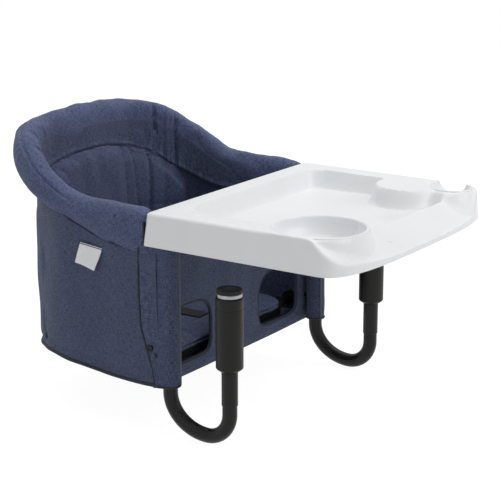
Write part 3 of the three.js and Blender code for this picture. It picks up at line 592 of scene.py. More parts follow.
BLUE_CLOTH = Finish("heathered_blue", "blue_cloth", Pattern.WEAVE, (39, 47, 70), (89, 99, 131),
                    (0.84, 0.95), sheen=0.12, traced=True)
BAND_CLOTH = Finish("heathered_band", "blue_cloth", Pattern.WEAVE, (44, 53, 82), (100, 112, 152),
                    (0.84, 0.95), sheen=0.12, traced=True)
LINING = Finish("heathered_lining", "lining_cloth", Pattern.WEAVE, (40, 48, 73), (90, 100, 135),
                (0.84, 0.95), sheen=0.12, traced=True)
BINDING = Finish("dark_binding", "dark_cloth", Pattern.TAPE, (22, 25, 34), (50, 56, 72),
                 (0.8, 0.95), sheen=0.1)
STITCHED = Finish("stitched_piping", "dark_cloth", Pattern.TAPE, (70, 74, 84), (128, 132, 140),
                  (0.8, 0.95))
WEBBING = Finish("black_webbing", "dark_cloth", Pattern.TAPE, (15, 15, 17), (42, 42, 46),
                 (0.7, 0.9), depth=1.4)
LABEL = Finish("white_label", "white_cloth", Pattern.WEAVE, (244, 245, 248), (253, 253, 254),
               (0.8, 0.9), depth=0.5, traced=True)
WHITE = Finish("gloss_white", "white_plastic", Pattern.MOULDED, (240, 242, 243), (245, 247, 248),
               (0.27, 0.34), coat=0.2, depth=0.5)
WHITE_PLAIN = Finish("plain_white", "white_plastic", Pattern.MOULDED, (214, 216, 217), (230, 232, 233),
                     (0.4, 0.5))
TUBE_BLACK = Finish("satin_black", "black_tube", Pattern.PAINTED, (15, 14, 13), (24, 22, 21),
                    (0.3, 0.42), specular=0.25)
KNOB_BLACK = Finish("black_plastic", "black_plastic", Pattern.MOULDED, (19, 18, 17), (31, 29, 27),
                    (0.38, 0.52), specular=0.25)
RUBBER = Finish("black_rubber", "rubber", Pattern.MOULDED, (16, 16, 16), (30, 30, 30),
                (0.75, 0.9), depth=2.0)
STEEL = Finish("drawn_steel", "steel", Pattern.BRUSHED, (120, 122, 126), (186, 188, 192),
               (0.24, 0.42), metallic=1.0)
BOARD = Finish("pressed_board", "board", Pattern.FIBRE, (96, 70, 44), (164, 128, 88), (0.65, 0.85))


@dataclass
class Bench:
    """Where pieces are made, dressed and set on their bodies."""

    frame: dict
    materials: dict[str, bpy.types.Material] = field(default_factory=dict)

    def material(self, finish: Finish) -> bpy.types.Material:
        """The finish's material, built once."""
        if finish.name not in self.materials:
            self.materials[finish.name] = finish.material()
        return self.materials[finish.name]

    def raw(self, name: str, surface: Surface) -> Piece:
        """Makes a closed mesh with its faces outward.

        Args:
            name: The piece's name.
            surface: Its places and faces.

        Returns:
            The object, linked to the scene.
        """
        mesh = bpy.data.meshes.new(name)
        mesh.from_pydata(surface.points.tolist(), [], surface.faces)
        work = bmesh.new()
        work.from_mesh(mesh)
        bmesh.ops.remove_doubles(work, verts=work.verts, dist=WELD)
        bmesh.ops.recalc_face_normals(work, faces=work.faces)
        work.to_mesh(mesh)
        work.free()
        piece = bpy.data.objects.new(name, mesh)
        bpy.context.scene.collection.objects.link(piece)
        return piece

    def dress(self, piece: Piece, finish: Finish, body: str | None, nodes: tuple[str, ...] = (),
              trace: Trace | None = None, sharp: float = 40.0) -> Piece:
        """Gives a piece its finish, sets it on its body and hides the solids that it stands for.

        Args:
            piece: The piece.
            finish: Its finish.
            body: The body that it rides on, or none where it rides on none.
            nodes: CAD nodes that it replaces.
            trace: Gives each place its distances along and across the cloth.
            sharp: Edges at a larger angle, in degrees, stay sharp.

        Returns:
            The piece.
        """
        piece.data.shade_smooth()
        piece.data.set_sharp_from_angle(angle=np.radians(sharp))
        piece.data.materials.clear()
        piece.data.materials.append(self.material(finish))
        if finish.traced:
            points = places_of(piece)
            traced = trace(points) if trace else points
            weave = piece.data.attributes.new("weave", "FLOAT_VECTOR", "POINT")
            weave.data.foreach_set("vector", np.ascontiguousarray(traced, np.float32).ravel())
        if body:
            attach(piece, body)
        if nodes:
            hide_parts(*nodes)
        LOG.info("%s: %d faces on %s", piece.name, len(piece.data.polygons), body)
        return piece

    def add(self, name: str, surface: Surface, finish: Finish, body: str = FRAME,
            nodes: tuple[str, ...] = (), trace: Trace | None = None, sharp: float = 40.0) -> Piece:
        """Makes a piece from a surface and dresses it."""
        return self.dress(self.raw(name, surface), finish, body, nodes, trace, sharp)

    def pair(self, side: int, name: str, surface: Surface, finish: Finish, body: str = FRAME,
             nodes: tuple[str, ...] = (), trace: Trace | None = None) -> Piece:
        """Adds one of the pieces that both sides have.

        Args:
            side: -1 for the child's right, 1 for the left.
            name: Its name without the side.
            surface: Its skin, made for the child's right.
            finish: Its finish.
            body: Its body, without the side for those that both sides have.
            nodes: The nodes it replaces, without the side.
            trace: Gives each place its distances along and across the cloth.

        Returns:
            The piece.
        """
        label = side_name(side)
        body = body if body == FRAME else f"{label}_{body}"
        replaced = tuple(f"{label}_{node}" for node in nodes)
        return self.add(f"{label}_{name}", surface.on_side(side), finish, body, replaced, trace)

    def keep(self, finish: Finish, *nodes: str) -> None:
        """Gives CAD nodes whose shapes are right their finish.

        Args:
            finish: The finish.
            nodes: Names of the nodes.
        """
        for node in nodes:
            for place in self.frame["nodes"][node].material_slots:
                place.material = self.material(finish)
            LOG.info("%s keeps its solid", node)


def vertices_of(mesh: bpy.types.Mesh) -> Array:
    """A mesh's vertex places."""
    flat = np.empty(len(mesh.vertices) * 3, np.float32)
    mesh.vertices.foreach_get("co", flat)
    return flat.reshape(-1, 3).astype(float)


def places_of(piece: Piece) -> Array:
    """A piece's vertex places."""
    return vertices_of(piece.data)


def set_places(piece: Piece, points: Array) -> None:
    """Writes a piece's vertex places."""
    piece.data.vertices.foreach_set("co", np.ascontiguousarray(points, np.float32).ravel())
    piece.data.update()


def settle(piece: Piece) -> None:
    """Applies a piece's modifiers to its mesh."""
    bpy.context.view_layer.update()
    made = bpy.data.meshes.new_from_object(piece.evaluated_get(bpy.context.evaluated_depsgraph_get()))
    piece.modifiers.clear()
    piece.data = made


def refine(piece: Piece) -> None:
    """Gives a piece a skin that is one subdivision finer."""
    finer = piece.modifiers.new("finer", "SUBSURF")
    finer.levels = finer.render_levels = 1
    settle(piece)


@dataclass(frozen=True)
class Stuffing:
    """How a padded piece swells: a voxel remesh, cloth under pressure with no gravity, and a cap."""

    voxel: float
    cap: float
    pressure: float = 4.0
    frames: int = 20

    def fill(self, piece: Piece) -> None:
        """Swells the piece and gives it a finer skin.

        Args:
            piece: A closed mesh, slightly smaller than the finished pad.
        """
        remesh = piece.modifiers.new("even_skin", "REMESH")
        remesh.mode = "VOXEL"
        remesh.voxel_size = self.voxel
        settle(piece)
        start = places_of(piece)
        cloth = piece.modifiers.new("swell", "CLOTH")
        cloth.settings.use_pressure = True
        cloth.settings.uniform_pressure_force = self.pressure
        cloth.settings.effector_weights.gravity = 0.0
        cloth.point_cache.frame_start = 1
        cloth.point_cache.frame_end = self.frames
        for frame in range(1, self.frames + 1):
            bpy.context.scene.frame_set(frame)
        swollen = piece.evaluated_get(bpy.context.evaluated_depsgraph_get()).to_mesh()
        move = vertices_of(swollen) - start
        piece.modifiers.clear()
        bpy.context.scene.frame_set(1)
        far = np.maximum(np.linalg.norm(move, axis=1, keepdims=True), WELD)
        set_places(piece, start + move * np.minimum(1.0, self.cap / far))
        refine(piece)


def push(piece: Piece, distance: Callable[[Array], Array]) -> None:
    """Moves each place of a piece along its outward direction by a distance worked out from it."""
    points, count = places_of(piece), len(piece.data.vertices)
    normals = np.empty(count * 3, np.float32)
    piece.data.vertex_normals.foreach_get("vector", normals)
    set_places(piece, points + normals.reshape(-1, 3) * distance(points)[:, None])


# The studio.


@dataclass(frozen=True)
class Studio:
    """Camera, lights, world and floor."""

    eye: Spot = (-1.6882, -1.1405, 0.5016)
    turn: Spot = (90.0 - 15.014, 0.0, -56.047)
    lens: float = 113.0
    floor: float = -0.2515
    floor_half: float = 14.0
    floor_glow: float = 1.18
    floor_lit: float = 0.8
    daylight: float = 0.32

    def build(self) -> None:
        """Sets the camera, the light and the ground."""
        self.camera()
        self.world()
        self.ground()
        middle = np.array([0.0, 0.05, -0.05])
        self.lamp("soft_above", (0.5, 0.1, 2.3), middle, 2.4, 29.0)
        self.lamp("soft_front", (0.3, -2.4, 1.5), middle, 2.0, 24.0)
        self.lamp("soft_near", (-2.3, 0.3, 0.9), middle, 1.8, 4.0)
        self.lamp("soft_back", (0.4, 2.4, 1.6), middle, 2.0, 9.0)
        bpy.context.scene.view_settings.view_transform = "Standard"

    def camera(self) -> None:
        """Places the camera of the photograph."""
        data = bpy.data.cameras.new("photo_camera")
        data.lens, data.sensor_width = self.lens, 36.0
        data.clip_start, data.clip_end = 0.05, 60.0
        camera = bpy.data.objects.new("photo_camera", data)
        camera.location = self.eye
        camera.rotation_euler = np.radians(self.turn).tolist()
        bpy.context.scene.collection.objects.link(camera)
        bpy.context.scene.camera = camera

    def lamp(self, name: str, place: Spot, aim: Array, size: float,
             power: float) -> None:
        """Adds a soft square lamp.

        Args:
            name: Its name.
            place: Where it stands.
            aim: Where it points.
            size: Its side in metres.
            power: Its power in watts.
        """
        data = bpy.data.lights.new(name, "AREA")
        data.size, data.energy = size, power
        lamp = bpy.data.objects.new(name, data)
        lamp.location = place
        away = np.asarray(place) - aim
        level = np.hypot(away[0], away[1])
        lamp.rotation_euler = (float(np.arctan2(level, away[2])), 0.0,
                               float(np.arctan2(away[0], -away[1])) if level > WELD else 0.0)
        bpy.context.scene.collection.objects.link(lamp)

    def seen(self, tree: Tree) -> Socket:
        """One for rays of the camera, of reflections and through glass, and nought for light."""
        path = tree.nodes.new("ShaderNodeLightPath").outputs
        total = path["Is Camera Ray"]
        for name in ("Is Glossy Ray", "Is Transmission Ray"):
            total = tree.node("ShaderNodeMath", {0: total, 1: path[name]}, operation="MAXIMUM")
        return total

    def world(self) -> None:
        """Pale where it is seen, and a plain grey light otherwise."""
        world = bpy.data.worlds.new("plain_world")
        bpy.context.scene.world = world
        world.use_nodes = True
        tree = Tree(world.node_tree)
        light = tree.nodes["Background"]
        light.inputs["Color"].default_value = (1.0, 1.0, 1.0, 1.0)
        light.inputs["Strength"].default_value = self.daylight
        pale = tree.node("ShaderNodeBackground", {})
        mixed = tree.node("ShaderNodeMixShader", {0: self.seen(tree), 1: light.outputs[0], 2: pale})
        tree.feed(tree.nodes["World Output"].inputs[0], mixed)

    def ground(self) -> None:
        """A plain pale floor that keeps the chair's shadow."""
        half, level = self.floor_half, self.floor
        mesh = bpy.data.meshes.new("floor")
        corners = [(-half, -half, level), (half, -half, level), (half, half, level), (-half, half, level)]
        mesh.from_pydata(corners, [], [(0, 1, 2, 3)])
        floor = bpy.data.objects.new("floor", mesh)
        bpy.context.scene.collection.objects.link(floor)
        recipe = Recipe("pale_floor")
        recipe.shader.inputs["Base Color"].default_value = srgb((240, 240, 240))
        recipe.shader.inputs["Roughness"].default_value = 0.9
        glow = recipe.node("ShaderNodeEmission", {"Strength": self.floor_glow})
        share = recipe.times(self.seen(recipe), self.floor_lit)
        mixed = recipe.node("ShaderNodeMixShader", {0: share, 1: recipe.shader.outputs[0], 2: glow})
        recipe.feed(recipe.nodes["Material Output"].inputs[0], mixed)
        mesh.materials.append(recipe.material)


# The seat's soft goods.


@dataclass(frozen=True)
class Hoop:
    """A plan round the seat: two straight sides, two round corners and a straight back."""

    half_width: float
    front: float
    back: float
    corner: float

    @property
    def straight(self) -> float:
        """Length of a straight side."""
        return self.back - self.corner - self.front

    @property
    def half(self) -> float:
        """Length from one front end to the middle of the back."""
        return self.straight + self.corner * np.pi / 2 + self.half_width - self.corner

    def travel(self, lap: Array) -> Array:
        """Length from the nearer front end, by the length along the whole hoop."""
        return np.minimum(lap, 2 * self.half - lap)

    def lap(self, points: Array, travel: Array) -> Array:
        """Length along the whole hoop, by the length from the nearer front end and the side."""
        return np.where(points[:, 0] < 0, travel, 2 * self.half - travel)

    def at(self, lap: Array) -> tuple[Array, Array]:
        """Places and outward directions along the hoop.

        Args:
            lap: Lengths from the right side's front end, over the back to the left side's.

        Returns:
            Places at height nought, and directions.
        """
        travel = self.travel(lap)
        side = np.where(lap < self.half, -1.0, 1.0)
        angle = np.clip((travel - self.straight) / self.corner, 0.0, np.pi / 2)
        past = np.maximum(travel - self.straight - self.corner * np.pi / 2, 0.0)
        x = self.half_width - self.corner * (1 - np.cos(angle)) - past
        y = self.front + np.minimum(travel, self.straight) + self.corner * np.sin(angle)
        return joined(side * x, y, 0.0), joined(side * np.cos(angle), np.sin(angle), 0.0)

    def beside(self, points: Array) -> tuple[Array, Array]:
        """The nearest length along the hoop, and how far outside it each place lies.

        Args:
            points: Places.

        Returns:
            Travel from the nearer front end, and the distance outward.
        """
        across = np.abs(points[:, 0]) - self.half_width + self.corner
        along = points[:, 1] - self.back + self.corner
        angle = np.arctan2(np.maximum(along, 0.0), np.maximum(across, WELD))
        travel = self.straight + self.corner * angle + np.where(across < 0, -across, 0.0)
        out = np.where(across < 0, along - self.corner, np.hypot(across, along) - self.corner)
        before = along < 0
        return (np.where(before, points[:, 1] - self.front, travel),
                np.where(before, across - self.corner, out))


RIM = Hoop(0.176, 0.062, 0.288, 0.106)
WALL = Hoop(0.188, 0.009, 0.276, 0.132)


@dataclass(frozen=True)
class Rise:
    """A height that changes along a hoop, read off the photograph at some lengths from its front end."""

    travels: tuple[float, ...]
    heights: tuple[float, ...]

    def at(self, travel: Array) -> Array:
        """Height at each length: straight between the readings, then evened over 20 mm."""
        spread = np.asarray(travel, float)[..., None] + np.linspace(-0.010, 0.010, 9)
        return np.interp(spread, self.travels, self.heights).mean(axis=-1)


BAND_TOP = Rise((-0.034, 0.0, 0.05, 0.083, 0.105, 0.14, 0.16, 0.18, 0.20, 0.2227, 0.256, 0.2965, 0.3365,
                 0.3565),
                (0.0425, 0.0445, 0.0450, 0.0480, 0.0580, 0.0775, 0.0885, 0.1010, 0.1095, 0.1155, 0.1205,
                 0.1245, 0.1265, 0.1270))
BAND_FOOT = Rise((-0.034, 0.0, 0.035, 0.07, 0.101, 0.133, 0.16, 0.19, 0.22, 0.25, 0.30, 0.3565),
                 (-0.0215, -0.0195, -0.0140, -0.0030, 0.0100, 0.0250, 0.0390, 0.0530, 0.0640, 0.0700, 0.0710,
                  0.0710))
FACING_FOOT = Rise((0.055, 0.09, 0.12, 0.15, 0.181, 0.218, 0.266, 0.32, 0.3565),
                   (-0.0080, -0.0080, -0.0030, 0.0070, 0.0190, 0.0400, 0.0540, 0.0625, 0.0640))
HEM = Rise((-0.02, 0.0, 0.03, 0.08, 0.13, 0.18, 0.22, 0.27, 0.32, 0.40),
           (-0.1840, -0.1835, -0.1845, -0.1832, -0.1780, -0.1740, -0.1755, -0.1790, -0.1815, -0.1820))


def rim_height(travel: Array) -> Array:
    """Height of the band's centre line."""
    return (BAND_TOP.at(travel) + BAND_FOOT.at(travel)) / 2


def band_half_height(travel: Array) -> Array:
    """Half of the band's height."""
    return (BAND_TOP.at(travel) - BAND_FOOT.at(travel)) / 2


def wall_top(points: Array) -> Array:
    """Height of the band's underside above each place of the wall."""
    return BAND_FOOT.at(RIM.beside(points)[0]) - 0.0008


@dataclass
class RimBand:
    """The padded band round the sides and the back."""

    bench: Bench
    half_thickness: float = 0.0168
    reach_forward: float = 0.0351
    end_round: float = 0.007
    shrink: float = 0.0030
    section_power: float = 0.62
    wrap_radius: float = 0.023
    facing_start: float = 0.052
    stations: int = 190
    sides: int = 44

    def rings(self) -> Array:
        """Section rings: rounded boxes square to the hoop, drawn in at both front ends.

        Returns:
            Places, of shape stations by sides by three.
        """
        lap = np.linspace(-self.reach_forward, 2 * RIM.half + self.reach_forward, self.stations)
        travel = RIM.travel(lap)
        place, out = RIM.at(lap)
        end = np.clip((travel + self.reach_forward) / self.end_round, 0.0, 1.0)
        draw = mix(0.72, 1.0, np.sqrt(1 - (1 - end) ** 2))[:, None, None]
        front = smooth(travel, 0.06, -0.01) * 0.0015
        thick = (self.half_thickness + front - self.shrink)[:, None]
        high = (band_half_height(travel) - self.shrink)[:, None]
        ring = squarish(1.0, 1.0, self.sides, self.section_power)[None] * draw
        lift = rim_height(travel)[:, None, None] * UP
        return (place[:, None] + lift + out[:, None] * (ring[..., :1] * thick[..., None])
                + UP * (ring[..., 1:] * high[..., None]))

    def local(self, points: Array) -> tuple[Array, Array]:
        """Travel of each place, and its angle from the band's top towards the outside."""
        travel, out = RIM.beside(points)
        return travel, np.arctan2(out, points[:, 2] - rim_height(travel))

    def fit(self, piece: Piece) -> None:
        """Stretches the swollen band's section back to the height and thickness wanted all along it.

        The cloth simulation makes a flat section rounder. Its extremes are found in 9 mm lengths. The outer
        face is thicker round the back corners, as it is in the photograph.

        Args:
            piece: The swollen band.
        """
        points, length = places_of(piece), 0.009
        travel, out = RIM.beside(points)
        marks = np.arange(-self.reach_forward, RIM.half + length, length)
        cell = np.clip(((travel + self.reach_forward) / length).round().astype(int), 0, len(marks) - 1)

        def most(values: Array) -> Array:
            """The largest value in each length, read at each place."""
            found = np.full(len(marks), -1.0)
            np.maximum.at(found, cell, values)
            return np.interp(travel, marks[1:-1], found[1:-1])

        high, low, wide = most(points[:, 2]), -most(-points[:, 2]), most(np.abs(out))
        share = (points[:, 2] - low) / (high - low)
        inside = smooth(travel, -0.030, -0.018)
        points[:, 2] = mix(points[:, 2], mix(BAND_FOOT.at(travel), BAND_TOP.at(travel), share), inside)
        wanted = self.half_thickness + 0.0012 * smooth(travel, 0.06, -0.01)
        wanted = wanted + 0.0042 * hump(travel, 0.2236, 0.075) * (out > 0)
        move = inside * out * (wanted / wide - 1.0)
        normal = RIM.at(RIM.lap(points, travel))[1]
        set_places(piece, points + normal * move[:, None])

    def facing(self) -> None:
        """The inner face of the band, which runs down to an arched seam over the lining."""
        lap = np.linspace(self.facing_start, 2 * RIM.half - self.facing_start, 300)
        travel = RIM.travel(lap)
        place, out = RIM.at(lap)
        top = rim_height(travel) + 0.005
        foot = FACING_FOOT.at(travel)
        rise = np.linspace(0.0, 1.0, 30)
        height = foot[:, None] + (top - foot)[:, None] * rise
        above = height - foot[:, None]
        roll = 0.0016 * hump(above, 0.0035, 0.0028)
        tucked = 0.0032 * smooth(height - rim_height(travel)[:, None], -0.004, 0.005)
        fade = 0.004 * smooth(travel, 0.085, 0.055)[:, None]
        spots = place[:, None] + UP * height[..., None]
        soft = ripple(spots * (1.0, 1.0, 0.5), 0.04, 15) * 0.0005
        face = -self.half_thickness - 0.0003 - roll + tucked + fade + soft
        crease = self.pleats(travel)[:, None] * smooth(rise, 1.0, 0.8) * np.where(place[:, :1] > 0, 1.0, 0.8)
        face = face + 0.9 * crease
        back = np.minimum(face + 0.0034, -0.0120)
        draw = 0.0014 * hump(above, 0.0, 0.0016)
        move = np.concatenate([face + draw, (np.maximum(back, face + 0.0030) - draw)[:, ::-1]], axis=1)
        level = np.concatenate([height, height[:, ::-1]], axis=1)
        piece = self.bench.raw("rim_facing", ring_skin(rows_beside(place, out, level, move)))
        self.bench.dress(piece, BLUE_CLOTH, None, (), self.trace, sharp=80.0)
        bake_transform(piece)

    def pleats(self, travel: Array) -> Array:
        """Depth of the upright pleats in each corner of the band's inner face."""
        return (0.0060 * hump(travel, 0.2145, 0.0036) + 0.0056 * hump(travel, 0.178, 0.0036)
                + 0.0012 * hump(travel, 0.187, 0.003) + 0.0011 * hump(travel, 0.197, 0.003)
                - 0.0014 * hump(travel, 0.192, 0.007))

    def trace(self, points: Array) -> Array:
        """Distances along and round the band."""
        travel, angle = self.local(points)
        return joined(RIM.lap(points, travel), angle * self.wrap_radius, 0.0)

    def creases(self, points: Array) -> Array:
        """How far the seams and pleats draw the band in.

        Args:
            points: Places on the band.

        Returns:
            Distances, inward as negative.
        """
        travel, angle = self.local(points)
        rise = points[:, 2] - rim_height(travel)
        inner = smooth(-angle, 0.0, 0.6)
        seam_angle = mix(0.75, 0.35, smooth(travel, 0.10, 0.2))
        seam = hump((angle - seam_angle) * 0.021, 0.0, 0.0022) * smooth(travel, 0.07, 0.12)
        seam *= smooth(travel, 0.262, 0.235)
        left = np.where(points[:, 0] > 0, 1.0, 0.8)
        lean = (rise - 0.01) * 0.12
        soft = ripple(points * (1.0, 1.0, 1.6), 0.05, 11) * 0.0007 + ripple(points, 0.018, 12) * 0.00025
        return soft - 0.0024 * seam - left * inner * self.pleats(travel + lean)

    def build(self) -> None:
        """Builds the band and its inner facing, and bakes the band's place into its mesh."""
        piece = self.bench.raw("rim_band", ring_skin(self.rings()))
        Stuffing(voxel=0.0045, cap=0.007).fill(piece)
        refine(piece)
        self.fit(piece)
        push(piece, self.creases)
        self.bench.dress(piece, BAND_CLOTH, None, ("rim_pad",), self.trace, sharp=80.0)
        self.facing()
        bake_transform(piece)


@dataclass
class SeatShell:
    """The cloth seat that hangs from the rim: wall, lining, back pad, floor, front, sleeves and label.
    """

    bench: Bench
    tuck: float = 0.012
    pad_start: float = 0.204
    crease_travel: float = 0.2836
    panel_front: float = 0.0196
    panel_back: float = 0.0238
    panel_sides: Pair = (-0.0006, 0.1825)
    panel_levels: Pair = (-0.1905, -0.0163)
    leg_centre: Pair = (0.1065, -0.1355)
    leg_half: Pair = (0.0505, 0.0405)
    label_ends: Pair = (0.0945, 0.1300)
    sleeve_radius: float = 0.0125
    seam_radius: float = 0.0024
    seam_heights: tuple[float, ...] = (-0.184, -0.160, -0.138, -0.110, -0.068, -0.020, 0.0)
    seam_places: tuple[float, ...] = (0.012, 0.0165, 0.0245, 0.0335, 0.0365, 0.036, 0.035)

    def gather(self, piece: Piece) -> None:
        """Gives a piece its own copy of its mesh."""
        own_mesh(piece)

    def trace(self, points: Array) -> Array:
        """Distances along the wall and up it."""
        return joined(WALL.lap(points, WALL.beside(points)[0]), points[:, 2], 0.0)

    def flat_trace(self, points: Array) -> Array:
        """Distances across and along a level sheet."""
        return points * (1.0, 1.0, 0.0)

    def upright_trace(self, points: Array) -> Array:
        """Distances across and up a standing sheet."""
        return joined(points[:, 0], points[:, 2], 0.0)

    def folds(self, places: Array, share: Array) -> Array:
        """How far soft folds push the wall out.

        Args:
            places: Places on the wall.
            share: Share of the wall's height, from its hem to its top.

        Returns:
            Distances outward.
        """
        travel = WALL.beside(places.reshape(-1, 3))[0].reshape(places.shape[:-1])
        held = smooth(travel, 0.02, 0.09)
        free = np.sin(np.pi * np.clip(share, 0.0, 1.0)) ** 0.7
        flow = ripple(places * (1.0, 1.0, 0.45), 0.075, 21) * 0.0016
        small = ripple(places * (1.0, 1.0, 0.7), 0.028, 22) * 0.00035
        slack = -0.0018 * free * smooth(travel, 0.05, 0.12)
        drawn = 0.0008 * hump(share, 0.0, 0.014) - 0.0020 * hump(share, 0.06, 0.028) * held
        pulled = -0.0020 * smooth(travel, 0.02, 0.10) * smooth(travel, 0.30, 0.20) * smooth(share, 0.5, 0.0)
        over_bracket = 0.0017 * smooth(travel, 0.085, 0.070) * smooth(places[..., 2], -0.034, -0.020)
        return held * free * flow + small + slack + drawn + pulled + over_bracket

    def layer(self, outer: float, inner: float, drop: float, extra: Trace | None = None) -> Surface:
        """One sheet of the wall.

        Args:
            outer: Distance of its outer face from the wall's plan.
            inner: Distance of its inner face.
            drop: How far its lower edge lies above the wall's.
            extra: Further distances outward, by place.

        Returns:
            The closed sheet.
        """
        place, out = WALL.at(np.linspace(0.0, 2 * WALL.half, 270))
        rise = np.linspace(0.0, 1.0, 46)
        edge = np.sqrt(np.clip(1 - (2 * smooth(np.abs(rise - 0.5), 0.485, 0.5)) ** 2 / 4, 0.0, 1.0))
        middle, half = (outer + inner) / 2, (outer - inner) / 2
        share = np.concatenate([rise, rise[::-1]])
        offset = np.concatenate([middle + half * edge, middle - half * edge[::-1]])
        low = HEM.at(WALL.beside(place)[0])[:, None] + drop
        top = wall_top(place)[:, None] + self.tuck
        height = low + (top - low) * share[None]
        spots = place[:, None] + UP * height[..., None]
        move = offset[None] + self.folds(spots, np.broadcast_to(share, height.shape))
        if extra is not None:
            move = move + extra(spots.reshape(-1, 3)).reshape(height.shape)
        return ring_skin(rows_beside(place, out, height, move))

    def wall(self) -> None:
        """The outer wall, its lining and the piped hem."""
        wall = self.bench.add("side_wall", self.layer(0.002, 0.0002, 0.0), BLUE_CLOTH,
                              nodes=("side_panel",), trace=self.trace)
        lining = self.bench.add("side_lining", self.layer(-0.0002, -0.0018, 0.001, self.pleats), LINING,
                                trace=self.trace)
        hem = self.bench.add("wall_hem", carried(self.hem_line(320), circle(0.0029, 14), UP), BINDING)
        for piece in (wall, lining, hem):
            self.gather(piece)

    def hem_line(self, count: int, inset: float = 0.0) -> Array:
        """The wall's lower edge."""
        place, out = WALL.at(np.linspace(inset, 2 * WALL.half - inset, count))
        place = place + UP * HEM.at(WALL.beside(place)[0])[:, None]
        return place + out * self.folds(place, np.zeros(count))[:, None]

    def pleats(self, points: Array) -> Array:
        """Upright pleats of the lining, inward as negative."""
        travel = WALL.beside(points)[0]
        held = smooth(travel, 0.03, 0.1)
        return -0.0012 * held * (1 + np.sin(travel * 2 * np.pi / 0.031 + 2 * ripple(points, 0.12, 31))) / 2

    def back_pad(self) -> None:
        """The padded back, with the deep upright crease in each corner and softer pleats beside it."""
        lap = np.linspace(self.pad_start, 2 * WALL.half - self.pad_start, 150)
        place, out = WALL.at(lap)
        rise = np.linspace(0.0, 1.0, 40)
        ends = np.minimum(smooth(lap, lap[0], lap[0] + 0.035), smooth(lap, lap[-1], lap[-1] - 0.035))
        crown = ends[:, None] * np.sin(np.pi * np.clip(rise, 0.02, 0.98))[None] ** 0.6
        outer = np.full_like(crown, -0.0022)
        inner = -0.0052 - 0.0105 * crown
        travel = RIM.beside(place)[0]
        low = np.maximum(HEM.at(WALL.beside(place)[0]) + 0.006, -0.1765)[:, None]
        top = (FACING_FOOT.at(travel) + 0.006)[:, None]
        height = low + (top - low) * np.concatenate([rise, rise[::-1]])[None]
        move = np.concatenate([outer, inner[:, ::-1]], axis=1)
        piece = self.bench.raw("back_pad", ring_skin(rows_beside(place, out, height, move)))
        Stuffing(voxel=0.0045, cap=0.006).fill(piece)
        push(piece, self.back_creases)
        self.bench.dress(piece, LINING, FRAME, ("back_cushion",), self.trace, sharp=80.0)
        self.gather(piece)

    def back_creases(self, points: Array) -> Array:
        """How far the back pad's creases and sewn channels draw in, inward as negative."""
        travel, out = WALL.beside(points)
        inner = smooth(out, -0.0045, -0.008)
        side = np.sign(points[:, 0])
        lean = (points[:, 2] + 0.06) * 0.06
        deep = hump(travel + lean, self.crease_travel, 0.0042)
        beside = hump(travel - lean, self.crease_travel + 0.022, 0.003) * 0.45
        third = hump(travel, self.crease_travel + 0.047, 0.003) * 0.4 * (side > 0)
        ahead = hump(travel + lean, self.crease_travel - 0.027, 0.0034) * 0.45
        channel = sum(hump(points[:, 2], level, 0.0028) for level in (-0.035, -0.105)) * 0.30
        soft = ripple(points * (1.2, 1.2, 0.6), 0.045, 41) * 0.0009
        return soft - inner * (0.0062 * deep + 0.005 * (beside + third + ahead) + 0.004 * channel)

    def floor(self) -> None:
        """The cloth under the seat: rings that shrink to its middle, with a slight sag."""
        inset = self.hem_line(200, 0.013) * (0.990, 1.0, 1.0)
        edge = np.vstack([inset, np.linspace(inset[-1], inset[0], 60)[1:-1]])
        middle = np.array([0.0, 0.135, -0.1835])
        share = np.concatenate([[1.0, 0.985], np.linspace(0.96, 0.02, 26)])[:, None, None]
        flat = mix(middle, edge, share)
        raised = (edge[:, 2] - middle[2])[None] * smooth(share[..., 0], 0.74, 1.0)
        sag = ripple(flat * (1.0, 1.0, 0.0), 0.06, 51) * 0.0009 * (1 - share[..., 0] ** 4)
        level = (middle[2] + raised + sag)[..., None]
        flat = flat * (1.0, 1.0, 0.0)
        rings = np.concatenate([(flat + UP * (level + 0.0012))[::-1], flat + UP * level])
        piece = self.bench.add("seat_floor", ring_skin(rings), BLUE_CLOTH, trace=self.flat_trace)
        self.gather(piece)

    def leg_outline(self, angles: Array) -> Array:
        """Leg opening: an arch with round shoulders, read off at each angle from its middle.

        Args:
            angles: Directions from the opening's middle.

        Returns:
            Places across and up from the middle.
        """
        ring = heading(angles)
        power = np.where(ring[:, 1] > 0, 3.0, 5.5)
        across, up = (np.abs(ring) / self.leg_half).T
        return ring * ((across**power + up**power) ** (-1 / power))[:, None]

    def panel_outline(self, angles: Array) -> Array:
        """Edge of half the front, read off at each angle from the leg opening's middle."""
        ring = heading(angles)
        reach = np.full(len(angles), np.inf)
        for axis, edges in enumerate((self.panel_sides, self.panel_levels)):
            for edge in edges:
                away = edge - self.leg_centre[axis]
                toward = ring[:, axis] * np.sign(away) > 1e-9
                far = np.where(toward, away / np.where(toward, ring[:, axis], 1.0), np.inf)
                reach = np.minimum(reach, far)
        return ring * reach[:, None]

